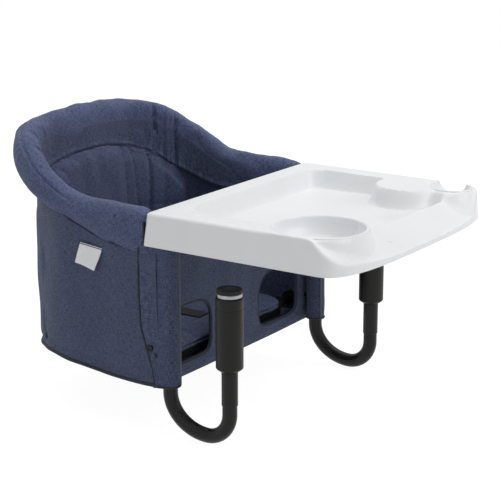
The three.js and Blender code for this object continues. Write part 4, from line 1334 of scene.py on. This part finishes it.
    def front(self, side: int) -> None:
        """Half of the front with its leg opening, and the opening's piping and stitches.

        Args:
            side: -1 for the child's right, 1 for the left.
        """
        label = side_name(side)
        centre_x, centre_z = self.leg_centre
        corners = [np.arctan2(z - centre_z, x - centre_x)
                   for x in self.panel_sides for z in self.panel_levels]
        angles = np.unique(np.concatenate([np.linspace(-np.pi, np.pi, 181)[:-1], corners]))
        hole, edge = self.leg_outline(angles), self.panel_outline(angles)
        share = np.linspace(0.0, 1.0, 15)[:, None, None] ** 1.4
        plan = mix(hole, edge, share)
        spots = joined(centre_x + plan[..., 0], 0.0, centre_z + plan[..., 1])
        puffed = np.sin(np.pi * share[..., 0]) ** 0.8
        wave = ripple(spots * (1.0, 1.0, 0.6), 0.055, 61) * 0.0011 * puffed - 0.0009 * puffed
        sewn = 0.0006 * hump(share[..., 0] * np.linalg.norm(edge - hole, axis=1)[None], 0.0065, 0.0011)
        lift = smooth(spots[..., 2], -0.170, self.panel_levels[0]) * 0.0008
        ahead = spots + AHEAD * (self.panel_front + wave + sewn - lift)[..., None]
        behind = spots + AHEAD * (self.panel_back + wave)[..., None]
        surface = ring_skin(np.concatenate([ahead, behind[::-1]]), looped=True)
        nodes = ("front_panel",) if side < 0 else ()
        piece = self.bench.add(f"{label}_front", surface.on_side(-side), BLUE_CLOTH, nodes=nodes,
                               trace=self.upright_trace)
        ring = self.leg_outline(np.linspace(0, 2 * np.pi, 121)[:-1])
        line = joined(centre_x + ring[:, 0], 0.0218, centre_z + ring[:, 1])
        piping = carried(line, squarish(0.0028, 0.0024, 16, 0.8), AHEAD, looped=True)
        self.bench.add(f"{label}_leg_piping", piping.on_side(-side), BINDING)
        foot = self.panel_levels[0]
        hem = eased([(0.0, 0.0216, foot), (centre_x, 0.0216, foot), (0.168, 0.0216, foot + 0.001)], 0.03)
        cord = carried(evenly(hem, 0.004), circle(0.0024, 12), UP)
        self.bench.add(f"{label}_front_hem", cord.on_side(-side), BINDING)

    def sleeve(self, side: int) -> None:
        """Cloth wrapped round a post and sewn down on the wall behind it, with a stitched front edge.

        The outline at each height is the hull of a circle round the post and a small one at the seam.

        Args:
            side: -1 for the child's right, 1 for the left.
        """
        height = np.linspace(-0.184, -0.0005, 64)
        post = np.array([-POST, 0.0])
        back = joined(-0.1893, np.interp(height, self.seam_heights, self.seam_places) - self.seam_radius)
        run = back - post
        aim = np.arctan2(run[:, 1], run[:, 0])[:, None]
        lean = (self.sleeve_radius - self.seam_radius) / np.linalg.norm(run, axis=1)
        open_by = np.arccos(np.clip(lean, -0.98, 0.98))[:, None]
        about_post = aim + open_by + (2 * np.pi - 2 * open_by) * np.linspace(0.0, 1.0, 40)
        about_seam = aim - open_by + 2 * open_by * np.linspace(0.0, 1.0, 10)
        arc_post = post + self.sleeve_radius * heading(about_post)
        arc_seam = back[:, None] + self.seam_radius * heading(about_seam)
        step = np.linspace(0.0, 1.0, 12)[1:-1, None]
        there = mix(arc_post[:, -1:], arc_seam[:, :1], step)
        home = mix(arc_seam[:, -1:], arc_post[:, :1], step)
        outline = np.concatenate([arc_post, there, arc_seam, home], axis=1)
        away = unit(outline - post)
        spots = joined(outline[..., 0], outline[..., 1], height[:, None])
        soft = ripple(spots, 0.03, 71) * 0.0004 + ripple(spots * (1, 1, 0.5), 0.09, 72) * 0.0005
        flat = np.concatenate([outline + away * soft[..., None], (post + away * 0.0114)[::-1]])
        level = np.concatenate([height, height[::-1]])[:, None]
        rings = joined(flat[..., 0], flat[..., 1], level)
        self.bench.pair(side, "cloth_sleeve", ring_skin(rings, looped=True), BLUE_CLOTH, nodes=("sleeve",),
                        trace=self.sleeve_trace)
        line = joined(-0.1705, -0.0121, np.linspace(-0.182, -0.002, 60))
        self.bench.pair(side, "sleeve_piping", carried(line, circle(0.0014, 12), AHEAD), STITCHED)
        level = np.linspace(-0.183, -0.004, 90)
        line = joined(-0.1914, np.interp(level, self.seam_heights, self.seam_places) + 0.0008, level)
        cord = carried(line, squarish(0.0011, 0.0006, 12, 0.9), ACROSS)
        self.bench.pair(side, "sleeve_seam", cord, BINDING)
        line = joined(outline[0, :, 0], outline[0, :, 1], height[0])
        self.bench.pair(side, "sleeve_hem", carried(line, circle(0.0017, 12), UP, looped=True), BINDING)

    def sleeve_trace(self, points: Array) -> Array:
        """Distances round the post and up it."""
        angle = np.arctan2(points[:, 1], np.abs(points[:, 0]) - POST)
        return joined(angle * self.sleeve_radius, points[:, 2], 0.0)

    def label_tag(self) -> None:
        """The bare white label on the right side, sewn along its top, with one corner standing away."""
        across, down = np.meshgrid(np.linspace(0, 1, 26), np.linspace(0, 1, 24), indexing="ij")
        along = mix(*self.label_ends, across) + 0.010 * down
        height = mix(-0.0145, -0.0110, across) - mix(0.0300, 0.0285, across) * down
        lifted = 0.0055 * smooth(down, 0.25, 1.0) * smooth(across, 0.75, -0.2)
        out = 0.0008 + lifted + 0.0006 * np.sin(np.pi * down) * np.sin(2.2 * np.pi * across)
        front, back = joined(-(0.1912 + out), along, height), joined(-(0.1905 + out), along, height)
        rings = np.concatenate([front, back[:, ::-1]], axis=1)
        piece = self.bench.add("blank_label", ring_skin(rings), LABEL, nodes=("label_tag",),
                               trace=lambda points: points[:, [1, 2, 0]] * (1.0, 1.0, 0.0))
        line = joined(-0.1925, np.linspace(*self.label_ends, 30), np.linspace(-0.0158, -0.0123, 30))
        thread = carried(line, squarish(0.0004, 0.0005, 8, 1.0), UP)
        stitches = self.bench.add("label_stitches", thread, BINDING)
        for part in (piece, stitches):
            self.gather(part)

    def build(self) -> None:
        """Builds every piece of the shell."""
        self.wall()
        self.back_pad()
        self.floor()
        for side in (-1, 1):
            self.front(side)
            self.sleeve(side)
        self.label_tag()


@dataclass
class SeatBase:
    """The folding seat base: its cushion, the straps that lie on it and their buckle."""

    bench: Bench
    half_width: float = 0.148
    front: float = 0.0265
    back: float = 0.248
    nose: float = 0.014
    corner: float = 0.090
    top: float = -0.1500
    around: int = 160
    strap_y: float = 0.150
    strap_lift: float = 0.00105

    def plan(self, inset: float) -> Array:
        """The cushion's outline drawn in by some distance, as places across and along."""
        half, front, back = self.half_width - inset, self.front + inset, self.back - inset
        arc = heading(np.linspace(0.0, QUARTER, 24))
        nose = np.array([half - self.nose, front + self.nose]) + self.nose * arc[::-1] * (1, -1)
        rear = np.array([half - self.corner, back - self.corner]) + self.corner * arc
        right = np.vstack([nose, rear])
        ring = evenly(np.vstack([right, right[::-1] * (-1, 1)]), 0.0005, closed=True)
        return ring[:: max(1, int(len(ring) / self.around))]

    def cushion(self) -> None:
        """The padded cushion, swollen by the cloth simulation and pressed in under its straps."""
        turn = np.linspace(0.06, np.pi / 2, 7)
        inset = 0.002 + 0.010 * (1 - np.sin(turn))
        middle, half = -0.1612, 0.0082
        rise = half * np.cos(turn)
        insets = np.concatenate([inset, inset[::-1][1:]])
        levels = np.concatenate([middle - rise, (middle + rise)[::-1][1:]])
        outline = [self.plan(float(step)) for step in insets]
        count = min(len(ring) for ring in outline)
        rings = np.stack([np.column_stack([ring[:count], np.full(count, level)])
                          for ring, level in zip(outline, levels)])
        piece = self.bench.raw("seat_pad", ring_skin(rings))
        Stuffing(voxel=0.005, cap=0.0055).fill(piece)
        points = places_of(piece)
        middle_strap = smooth(np.abs(points[:, 0]), 0.022, 0.0125) * smooth(points[:, 1], 0.055, 0.075)
        middle_strap *= smooth(points[:, 1], 0.178, 0.165)
        waist = smooth(np.abs(points[:, 1] - self.strap_y), 0.022, 0.0125)
        waist *= smooth(np.abs(points[:, 0]), 0.138, 0.122)
        pressed = np.maximum(middle_strap, waist)
        limit = mix(-0.1478, self.top - 0.0004, pressed)
        quilt = 0.0024 * (hump(points[:, 0], 0.072, 0.0028) + hump(points[:, 0], -0.072, 0.0028))
        seam = 0.0022 * hump(points[:, 2], middle, 0.0016)
        points[:, 2] = np.where(points[:, 2] > -0.158, np.minimum(points[:, 2], limit) - quilt, points[:, 2])
        points[:, 2] = np.maximum(points[:, 2], -0.1721)
        set_places(piece, points)
        push(piece, lambda places: -seam + ripple(places, 0.03, 81) * 0.0003)
        self.bench.dress(piece, LINING, "base", ("seat_cushion",),
                         lambda places: places * (1.0, 1.0, 0.3), sharp=80.0)

    def straps(self) -> None:
        """The crotch strap and both waist straps."""
        section = squarish(0.0125, 0.00075, 28, 0.35)
        line = joined(0.0, np.linspace(0.072, 0.1317, 30), self.top + self.strap_lift)
        self.bench.add("crotch_webbing", carried(line, section, UP), WEBBING, "base", ("crotch_strap",))
        reach = np.linspace(0.0253, 0.126, 40)
        level = self.top + self.strap_lift - 0.0024 * ((reach - 0.0253) / 0.1007) ** 2
        for side in (-1, 1):
            line, label = joined(side * reach, self.strap_y, level), side_name(side)
            self.bench.add(f"{label}_waist_webbing", carried(line, section, UP), WEBBING, "base",
                           (f"{label}_waist_strap",))

    def buckle(self) -> None:
        """The buckle's body, with a raised frame round its button."""
        body = soft_block((-0.025, 0.132, -0.1497), (0.025, 0.168, -0.1404), 0.0028, 64)
        frame = eased([(-0.0125, 0.1405, -0.1402), (0.0125, 0.1405, -0.1402), (0.0125, 0.1595, -0.1402),
                       (-0.0125, 0.1595, -0.1402), (-0.0125, 0.1405, -0.1402)], 0.002)
        lip = carried(evenly(frame, 0.001)[:-1], circle(0.0009, 10), UP, looped=True)
        self.bench.add("buckle_body", body, KNOB_BLACK, "base", ("buckle",))
        self.bench.add("buckle_lip", lip, KNOB_BLACK, "base")
        self.bench.keep(RUBBER, "buckle_button")

    def build(self) -> None:
        """Builds the base."""
        self.cushion()
        self.straps()
        self.buckle()
        self.bench.keep(BOARD, "base_board")
        self.bench.keep(KNOB_BLACK, "base_hinge")
        tube = rod(0.006, -0.181, 0.181, 0.0008, 32, (0.0, 0.045, -0.163), ACROSS)
        self.bench.add("base_cross_tube", tube, TUBE_BLACK, nodes=("cross_tube",))


# The clamps and arms.


@dataclass
class Mount:
    """One side's post, clamp and arm that hold the chair on the table."""

    bench: Bench
    side: int
    screw_y: float = -0.092
    lock_height: float = -0.143
    slot_depth: float = 0.0034
    arm_height: float = 0.013
    grip_radius: float = 0.0125

    @property
    def label(self) -> str:
        """The side's name in node names."""
        return side_name(self.side)

    def put(self, name: str, surface: Surface, finish: Finish, body: str, *nodes: str) -> Piece:
        """Adds one of this side's pieces, from a skin made for the child's right."""
        return self.bench.pair(self.side, name, surface, finish, body, nodes)

    def clamp(self) -> None:
        """The bent tube, its leg cover and the knob and pad on its screw."""
        turn = np.linspace(0.0, QUARTER, 26)
        rear = joined(-0.057 * (1 - np.cos(turn)), -0.193 - 0.047 * np.sin(turn))
        front = joined(self.screw_y + 0.035 * (1 - np.cos(turn)), -0.205 - 0.035 * np.sin(turn))
        bend = np.vstack([[(0.0, -0.060)], rear, front[::-1][1:], [(self.screw_y, -0.1012)]])
        flat = evenly(bend, 0.0011)
        path = joined(-POST, flat[:, 0], flat[:, 1])
        self.put("bent_tube", carried(path, self.slotted(path), ACROSS), TUBE_BLACK, "clamp", "clamp_tube")
        leg = (-POST, self.screw_y, 0.0)
        cover = pipe(0.0097, 0.0104, -0.192, -0.101, 0.0003, 48, leg)
        self.put("leg_sheath", cover, TUBE_BLACK, "clamp", "leg_cover")
        self.bench.keep(STEEL, f"{self.label}_nut", f"{self.label}_screw", f"{self.label}_hinge_pin")
        profile = [(0.0108, -0.100), (0.0108, -0.147), (0.0113, -0.147), (0.0128, -0.1462), (0.0173, -0.1428),
                   (0.0173, -0.0525), (0.0158, -0.051), (0.006, -0.051), (0.006, -0.0546), (0.0108, -0.0546),
                   (0.0108, -0.100)]
        grooves = [(0.0173, -0.0640), (0.0168, -0.0645), (0.0168, -0.0655), (0.0173, -0.0660)]
        shaped = eased(profile[:5] + grooves[::-1] + profile[5:], 0.0012, 5)
        self.put("turning_knob", turned(shaped, 72, leg), KNOB_BLACK, "twist", "knob")
        self.put("pad_disc", rod(0.016, -0.0507, -0.0460, 0.0007, 56, leg), STEEL, "pad", "pad_plate")
        rubber = [(0.0, -0.0457), (0.016, -0.0457), (0.016, -0.0410), (0.0135, -0.0410), (0.0130, -0.0418),
                  (0.0105, -0.0418), (0.0100, -0.0410), (0.0, -0.0410)]
        self.put("pad_face", turned(eased(rubber, 0.0005, 4), 56, leg), RUBBER, "pad", "pad_rubber")

    def slotted(self, path: Array) -> Array:
        """Sections of the bent tube, cut in where the lock button reaches through it.

        The cut runs round the rear leg over the angles that the swing takes past the button.

        Args:
            path: Places of the tube's middle line.

        Returns:
            Section places, one set for each place of the path.
        """
        ring = circle(1.0, 60)
        angle = np.degrees(np.arctan2(ring[:, 0], ring[:, 1]))
        beside = np.abs(path[:, 2] - self.lock_height) + np.where(np.abs(path[:, 1]) < 0.001, 0.0, 1.0)
        cut = smooth(beside, 0.0049, 0.0038)[:, None] * smooth(np.abs(angle - 88.0), 77.0, 70.0)
        return ring[None] * (TUBE_RADIUS - self.slot_depth * cut)[..., None]

    def post_parts(self) -> None:
        """The elbow on the post, and the lock button, its spring and the eyelet near the post's foot."""
        body = soft_block((-POST - 0.0095, -0.0125, 0.0), (-POST + 0.0095, 0.0127, 0.026), 0.0025, 56)
        plug = rod(TUBE_RADIUS, -0.045, 0.001, 0.0008, 40, (-POST, 0.0, 0.0))
        nose = rod(0.0072, -0.0405, -0.012, 0.0008, 40, (-POST, 0.0, self.arm_height), AHEAD)
        self.put("elbow_block", body.plus(plug, nose), KNOB_BLACK, FRAME, "elbow")
        turn = np.radians(133.0)
        aim = np.array([np.cos(turn), np.sin(turn), 0.0])
        button = eased([(0.0, 0.0101), (0.0026, 0.0101), (0.0026, 0.0165), (0.0046, 0.0165), (0.0046, 0.0185),
                        (0.0034, 0.0202), (0.0, 0.0207)], 0.0012, 5)
        middle = np.array([-POST, 0.0, self.lock_height])
        self.put("stud", turned(button, 32, tuple(middle), aim), KNOB_BLACK, "lock", "lock_button")
        lap = np.linspace(0.0, 3.5, 141)[:, None]
        across = np.cross(aim, UP)
        coil = (middle + aim * mix(0.0119, 0.0158, lap / 3.5) + across * 0.0036 * np.cos(2 * np.pi * lap)
                + UP * 0.0036 * np.sin(2 * np.pi * lap))
        wire = carried(coil, circle(0.0004, 10), aim)
        spring = self.put("coil_spring", wire, STEEL, FRAME, "button_spring")
        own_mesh(spring)
        ring = eased([(0.0, 0.1903), (0.0045, 0.1903), (0.0045, 0.1920), (0.0040, 0.1930), (0.0032, 0.1930),
                      (0.0029, 0.1922), (0.0, 0.1922)], 0.0004, 4)
        eyelet = turned(ring, 40, (0.0, 0.020, -0.134), -ACROSS)
        self.put("eyelet_ring", eyelet, TUBE_BLACK, FRAME, "eyelet")
        self.bench.keep(TUBE_BLACK, f"{self.label}_post_tube")
        self.bench.keep(KNOB_BLACK, f"{self.label}_hinge_bracket", f"{self.label}_lower_bracket",
                        f"{self.label}_rim_knuckle")

    def arm(self) -> None:
        """The upper arm on the table, its rubber grip and its end cap."""
        axis = (-POST, 0.0, self.arm_height)
        tube = pipe(0.008, TUBE_RADIUS, -0.126, -0.0128, 0.0004, 48, axis, AHEAD)
        self.put("arm_tube", tube, TUBE_BLACK, FRAME, "upper_arm")
        cap = [(0.0, -0.1293), (0.0075, -0.1293), (0.0095, -0.1278), (0.0095, -0.1263), (0.0072, -0.1263),
               (0.0072, -0.1123), (0.0, -0.1123)]
        plug = turned(eased(cap, 0.0009, 5), 44, axis, AHEAD)
        self.put("end_cap", plug, KNOB_BLACK, FRAME, "arm_cap")
        turn = np.radians(np.linspace(-40.0, 220.0, 44))
        round_arm = heading(turn) * self.grip_radius + (0.0, self.arm_height)
        foot = eased([round_arm[-1], (-0.010, 0.0004), (0.010, 0.0004), round_arm[0]], 0.0018, 5)
        outline = evenly(np.vstack([round_arm, foot[1:-1]]), 0.0012, closed=True)
        along = np.array([-0.118, -0.1178, -0.1172, -0.1163, *np.linspace(-0.114, -0.026, 45),
                          -0.0237, -0.0228, -0.0222, -0.022])
        ribs = 0.0005 * (1 + np.cos(along * 2 * np.pi / 0.0044)) * (np.abs(along + 0.070) < 0.0445)
        draw = 0.0012 * smooth(np.abs(along + 0.070), 0.0455, 0.048) + ribs
        shrink = 1 - draw[:, None, None] / self.grip_radius
        flat = mix(np.array([0.0, self.grip_radius]), outline, shrink)
        rings = joined(flat[..., 0] - POST, along[:, None], flat[..., 1])
        self.put("arm_grip", ring_skin(rings), RUBBER, FRAME, "grip")

    def build(self) -> None:
        """Builds this side."""
        self.clamp()
        self.post_parts()
        self.arm()


# The tray.


@dataclass
class Tray:
    """The moulded tray: a level deck that slopes down at its front, with a pan, a bowl and a cup place."""

    bench: Bench
    half: float = 0.186
    rear: float = 0.0275
    front: float = -0.270
    side_front: float = -0.228
    top: float = 0.041
    wall: float = 0.003
    flare: float = 0.009
    edge: float = 0.005
    edge_drop: float = 0.006
    rear_corner: float = 0.0055
    columns: int = 225
    rows: int = 163
    bowl: Pair = (-0.126, -0.190)
    bowl_radius: float = 0.056
    cup: Pair = (0.158, -0.222)
    cup_radius: float = 0.025
    rim: float = 0.0035
    pan_low: Pair = (-0.153, -0.230)
    pan_high: Pair = (0.155, -0.004)
    pan_floor: float = 0.016
    dish_floor: float = 0.014
    hidden_floor: float = 0.0125
    neck_half: float = 0.0101
    neck_y: float = 0.006
    neck_top: float = 0.0265
    scoop_y: float = -0.211
    scoop_radius: float = 0.022
    slope_y: float = -0.213
    slope: float = 0.038 / 0.057

    def deck(self, points: Array) -> Array:
        """Height of the plain deck: level, then sloping down with a soft bend where the slope starts."""
        fall = (self.slope_y - points[..., 1]) * self.slope
        bend = 0.0012
        return self.top - bend * np.logaddexp(0.0, fall / bend)

    def box_distance(self, points: Array, low: Array, high: Array, corner: float) -> Array:
        """Distance outside a rounded rectangle, less than nought inside it."""
        low, high = np.asarray(low), np.asarray(high)
        away = np.abs(points[..., :2] - (low + high) / 2) - (high - low) / 2 + corner
        outside = np.linalg.norm(np.maximum(away, 0.0), axis=-1)
        return outside + np.minimum(away.max(axis=-1), 0.0) - corner

    def either(self, first: Array, second: Array, soft: float) -> Array:
        """The larger of two distances, rounded where they meet."""
        share = np.clip(0.5 + 0.5 * (first - second) / soft, 0.0, 1.0)
        return mix(second, first, share) + soft * share * (1 - share)

    def from_middle(self, points: Array, middle: Pair) -> Array:
        """Distance from a middle in plan."""
        return np.linalg.norm(points[..., :2] - np.asarray(middle), axis=-1)

    def height(self, points: Array) -> Array:
        """Height of the tray's upper face without its bowl and cup.

        The pan is where a rounded rectangle and the outside of the bulge overlap. Its wall falls over 9 mm
        as a sine. Under the bowl and the cup the face drops out of sight.

        Args:
            points: Places in plan.

        Returns:
            Heights.
        """
        deck = self.deck(points)
        pan = self.box_distance(points, self.pan_low, self.pan_high, 0.026)
        island = self.from_middle(points, (0.140, -0.165)) - 0.042
        block = self.box_distance(points, (0.140, -0.255), (0.190, -0.165), 0.004)
        bulge = -self.either(-island, -block, 0.006)
        inside = self.either(pan, -bulge, 0.010)
        fall = np.clip(-inside / 0.0105, 0.0, 1.0)
        level = mix(deck, self.pan_floor, np.sin(QUARTER * fall) ** 1.5)
        scoop, beside = self.scoop(points)
        far = smooth(points[..., 0], 0.146, 0.162) * beside
        level = np.where(scoop < level, mix(level, scoop, far), level)
        groove = 0.0008 * hump(pan, 0.0030, 0.0016) * smooth(points[..., 0], -0.136, -0.146)
        level = level - groove * smooth(points[..., 1], -0.128, -0.112)
        brim = self.brim(points)
        dishes = ((self.bowl, self.bowl_radius, 0.0065), (self.cup, self.cup_radius, 0.016))
        for middle, radius, run in dishes:
            away = self.from_middle(points, middle)
            outer = radius + self.rim
            proud = 1 - smooth(away, outer - 0.0002, outer + run)
            level = np.maximum(level, mix(level, brim - 0.0018, proud))
            level = np.where(away < outer - 0.0013, self.hidden_floor, level)
        return level

    def scoop(self, points: Array) -> tuple[Array, Array]:
        """Height of the round scoop that dips the far edge, and whether each place lies beside it."""
        away = points[..., 1] - self.scoop_y
        height = 0.048 - np.sqrt(np.maximum(self.scoop_radius**2 - away**2, 0.0))
        return height, np.abs(away) < self.scoop_radius - 0.0005

    def brim(self, points: Array) -> Array:
        """Height of the dishes' rims: the deck's, or lower where the scoop dips the far edge."""
        scoop, beside = self.scoop(points)
        near = beside & (scoop < self.top)
        return self.top - smooth(points[..., 0], 0.150, 0.166) * near * (self.top - scoop)

    def widened(self, points: Array) -> Array:
        """The border's places, moved out where a dish reaches the tray's edge.

        Args:
            points: Places of the deck, across and along first.

        Returns:
            The places with their first number moved out.
        """
        side, along = np.sign(points[..., 0]), points[..., 1]
        bowl = 0.0040 * smooth(np.abs(along - self.bowl[1]), 0.052, 0.020) * (side < 0)
        cup = 0.0048 * smooth(np.abs(along - self.cup[1]), 0.036, 0.012) * (side > 0)
        moved = points.copy()
        moved[..., 0] += side * (bowl + cup) * smooth(np.abs(points[..., 0]), 0.140, 0.181)
        return moved

    def curve(self, share: Array) -> tuple[Array, Array]:
        """The front's curve: how much of its front and of its side end each share of the width takes."""
        turn = np.linspace(0.0, 1.0, 2001)
        across = 3 * (1 - turn) ** 2 * turn * 0.62 + 3 * (1 - turn) * turn**2 + turn**3
        ahead = (1 - turn) ** 3 + 3 * (1 - turn) ** 2 * turn + 3 * (1 - turn) * turn**2 * 0.99
        share = np.abs(share)
        return np.interp(share, across, ahead), np.interp(share, across, turn**3)

    def outline(self, grow: Array | float, inset: float | None = None) -> tuple[Array, Array]:
        """Front and rear edge of each column, moved out by some distance.

        Args:
            grow: Distance outward of the sides, one or one for each column.
            inset: Distance outward of the front and the rear, or the sides' where that is less than nought.

        Returns:
            Places of the front edge and of the rear edge, in plan.
        """
        grow = np.broadcast_to(np.asarray(grow, float), (self.columns,))
        share = np.sin(np.linspace(-np.pi / 2, np.pi / 2, self.columns))
        half = self.half + grow
        across = share * half
        ahead, behind = self.curve(share)
        inset = np.minimum(grow, 0.0) if inset is None else inset
        front = (self.front - inset) * ahead + self.side_front * behind
        corner = np.maximum(np.abs(across) - half + self.rear_corner, 0.0)
        rear = (self.rear + inset - self.rear_corner
                + np.sqrt(np.maximum(self.rear_corner**2 - corner**2, 0.0)))
        return np.stack([across, front], axis=-1), np.stack([across, rear], axis=-1)

    def edge_ring(self, grow: Array, level: Array, inset: float | None = None) -> Array:
        """A ring round the tray: along the front, up the left side, back along the rear and down the right.

        Args:
            grow: Distance outward of each place.
            level: Height of each place.
            inset: Distance outward of the front and the rear, where it isn't the sides'.

        Returns:
            The ring's places.
        """
        columns, rows = self.columns, self.rows
        split = np.cumsum([columns, rows - 2, columns])
        grow = np.broadcast_to(np.asarray(grow, float), (split[-1] + rows - 2,))
        front = self.outline(grow[:columns], inset)[0]
        rear = self.outline(grow[split[1]: split[2]][::-1], inset)[1][::-1]
        share = np.linspace(0.0, 1.0, rows)[1:-1]
        left_grow, right_grow = grow[split[0]: split[1]], grow[split[2]:]
        left = np.stack([self.half + left_grow, mix(front[-1, 1], rear[0, 1], share)], axis=-1)
        right = np.stack([-self.half - right_grow, mix(rear[-1, 1], front[0, 1], share)], axis=-1)
        flat = np.vstack([front, left, rear, right])
        return np.column_stack([flat, np.broadcast_to(level, len(flat))])

    def sheet(self, grow: float, lower: float) -> Array:
        """The deck's grid of places, columns by rows, lowered by some distance."""
        front, rear = self.outline(grow)
        share = np.linspace(0.0, 1.0, self.rows)[None, :, None]
        flat = self.widened(front[:, None] + (rear - front)[:, None] * share)
        return np.concatenate([flat, (self.height(flat) - lower)[..., None]], axis=-1)

    def loop(self) -> Array:
        """Numbers of the grid's border places, in the order of a ring."""
        number = np.arange(self.columns * self.rows).reshape(self.columns, self.rows)
        return np.concatenate([number[:, 0], number[-1, 1:-1], number[::-1, -1], number[0, -2:0:-1]])

    def shell(self) -> Surface:
        """The closed shell: deck, rounded edge, outer wall, lip, inner wall and underside."""
        deck, under = self.sheet(-self.edge, 0.0), self.sheet(-self.edge - 0.001, self.wall)
        loop = self.loop()
        border = deck.reshape(-1, 3)[loop]
        high = np.maximum(border[:, 2], 0.003)
        drop = np.minimum(self.edge_drop, high * 0.55)
        lean = self.flare / self.top
        plain = self.edge_ring(-self.edge, high)
        near = np.abs(border[:, 0]) - np.abs(plain[:, 0]) - self.edge
        rings = []
        for angle in np.radians([12.0, 26.0, 40.0, 55.0, 72.0, 90.0]):
            level = high - drop * (1 - np.cos(angle))
            target = lean * (self.top - (high - drop))
            grow = near + (target - near) * np.sin(angle)
            rings.append(self.edge_ring(grow, level))
        foot = self.notch(rings[-1])
        for share in (0.3, 0.6, 0.85, 0.97):
            level = mix(high - drop, foot, share)
            rings.append(self.edge_ring(lean * (self.top - level), level))
        rings.append(self.edge_ring(lean * (self.top - foot) - 0.0004, foot, -0.0004))
        rings.append(self.edge_ring(lean * (self.top - foot) - self.wall + 0.0004, foot, 0.0004 - self.wall))
        for share in (0.5, 1.0):
            level = mix(foot + 0.0004, np.maximum(high - drop - 0.001, foot + 0.0008), share)
            rings.append(self.edge_ring(lean * (self.top - level) - self.wall, level, -self.wall))
        count = len(loop)
        number = np.arange(count)
        beside = (number + 1) % count
        points = np.vstack([deck.reshape(-1, 3), under.reshape(-1, 3), *rings])
        total = self.columns * self.rows
        starts = [loop] + [2 * total + count * step + number for step in range(len(rings))] + [loop + total]
        faces = grid_faces(self.columns, self.rows, False, False)
        faces += (np.asarray(faces)[:, ::-1] + total).tolist()
        for here, there in zip(starts[:-1], starts[1:]):
            faces += np.stack([here, here[beside], there[beside], there], axis=1).tolist()
        return Surface(points, faces)

    def notch(self, ring: Array) -> Array:
        """Lowest height of the outer wall: the table, or above an elbow's neck at the rear."""
        near = np.abs(np.abs(ring[:, 0]) - POST) < self.neck_half
        return np.where(near & (ring[:, 1] > self.neck_y), self.neck_top, 0.0)

    def dish(self, middle: Pair, radius: float, sides: int) -> Surface:
        """A round dish turned from its section, whose rim follows the scoop beside it.

        Args:
            middle: Where it stands.
            radius: Inner radius of its rim.
            sides: Places round.

        Returns:
            The closed skin.
        """
        outer, floor = radius + self.rim, self.dish_floor
        corners = [(0.0, floor - 0.003), (radius - 0.010, floor - 0.003), (outer + 0.0012, floor + 0.003),
                   (outer, self.top - 0.0016), (outer - 0.0010, self.top), (radius + 0.0010, self.top),
                   (radius - 0.0004, self.top - 0.0014), (radius - 0.0022, floor + 0.011),
                   (radius - 0.0110, floor), (0.0, floor)]
        surface = turned(eased(corners, 0.0075, 7), sides, (*middle, 0.0))
        points = surface.points.copy()
        share = np.clip((points[:, 2] - floor) / (self.top - floor), 0.0, 1.0)
        points[:, 2] -= share * (self.top - self.brim(points))
        return Surface(points, surface.faces)

    def build(self) -> None:
        """Builds the tray and dresses its clips."""
        self.bench.add("tray_shell", self.shell(), WHITE, "tray_body", ("tray",), sharp=42.0)
        bowl = self.dish(self.bowl, self.bowl_radius, 144)
        cup = self.dish(self.cup, self.cup_radius, 112)
        for name, dish in (("tray_bowl", bowl), ("tray_cup", cup)):
            self.bench.add(name, dish, WHITE, "tray_body", sharp=60.0)
        self.bench.keep(WHITE_PLAIN, "right_tray_clip", "left_tray_clip")


@dataclass
class HookOnChair:
    """The whole chair."""

    bench: Bench

    def build(self) -> None:
        """Builds every sub-assembly."""
        RimBand(self.bench).build()
        SeatShell(self.bench).build()
        SeatBase(self.bench).build()
        for side in (-1, 1):
            Mount(self.bench, side).build()
        Tray(self.bench).build()
        self.bench.keep(TUBE_BLACK, "rim_tube")


def main() -> None:
    """Loads the frame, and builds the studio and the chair."""
    logging.basicConfig(level=logging.INFO, format="%(message)s")
    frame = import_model()
    Studio().build()
    HookOnChair(Bench(frame)).build()


if __name__ == "__main__":
    main()
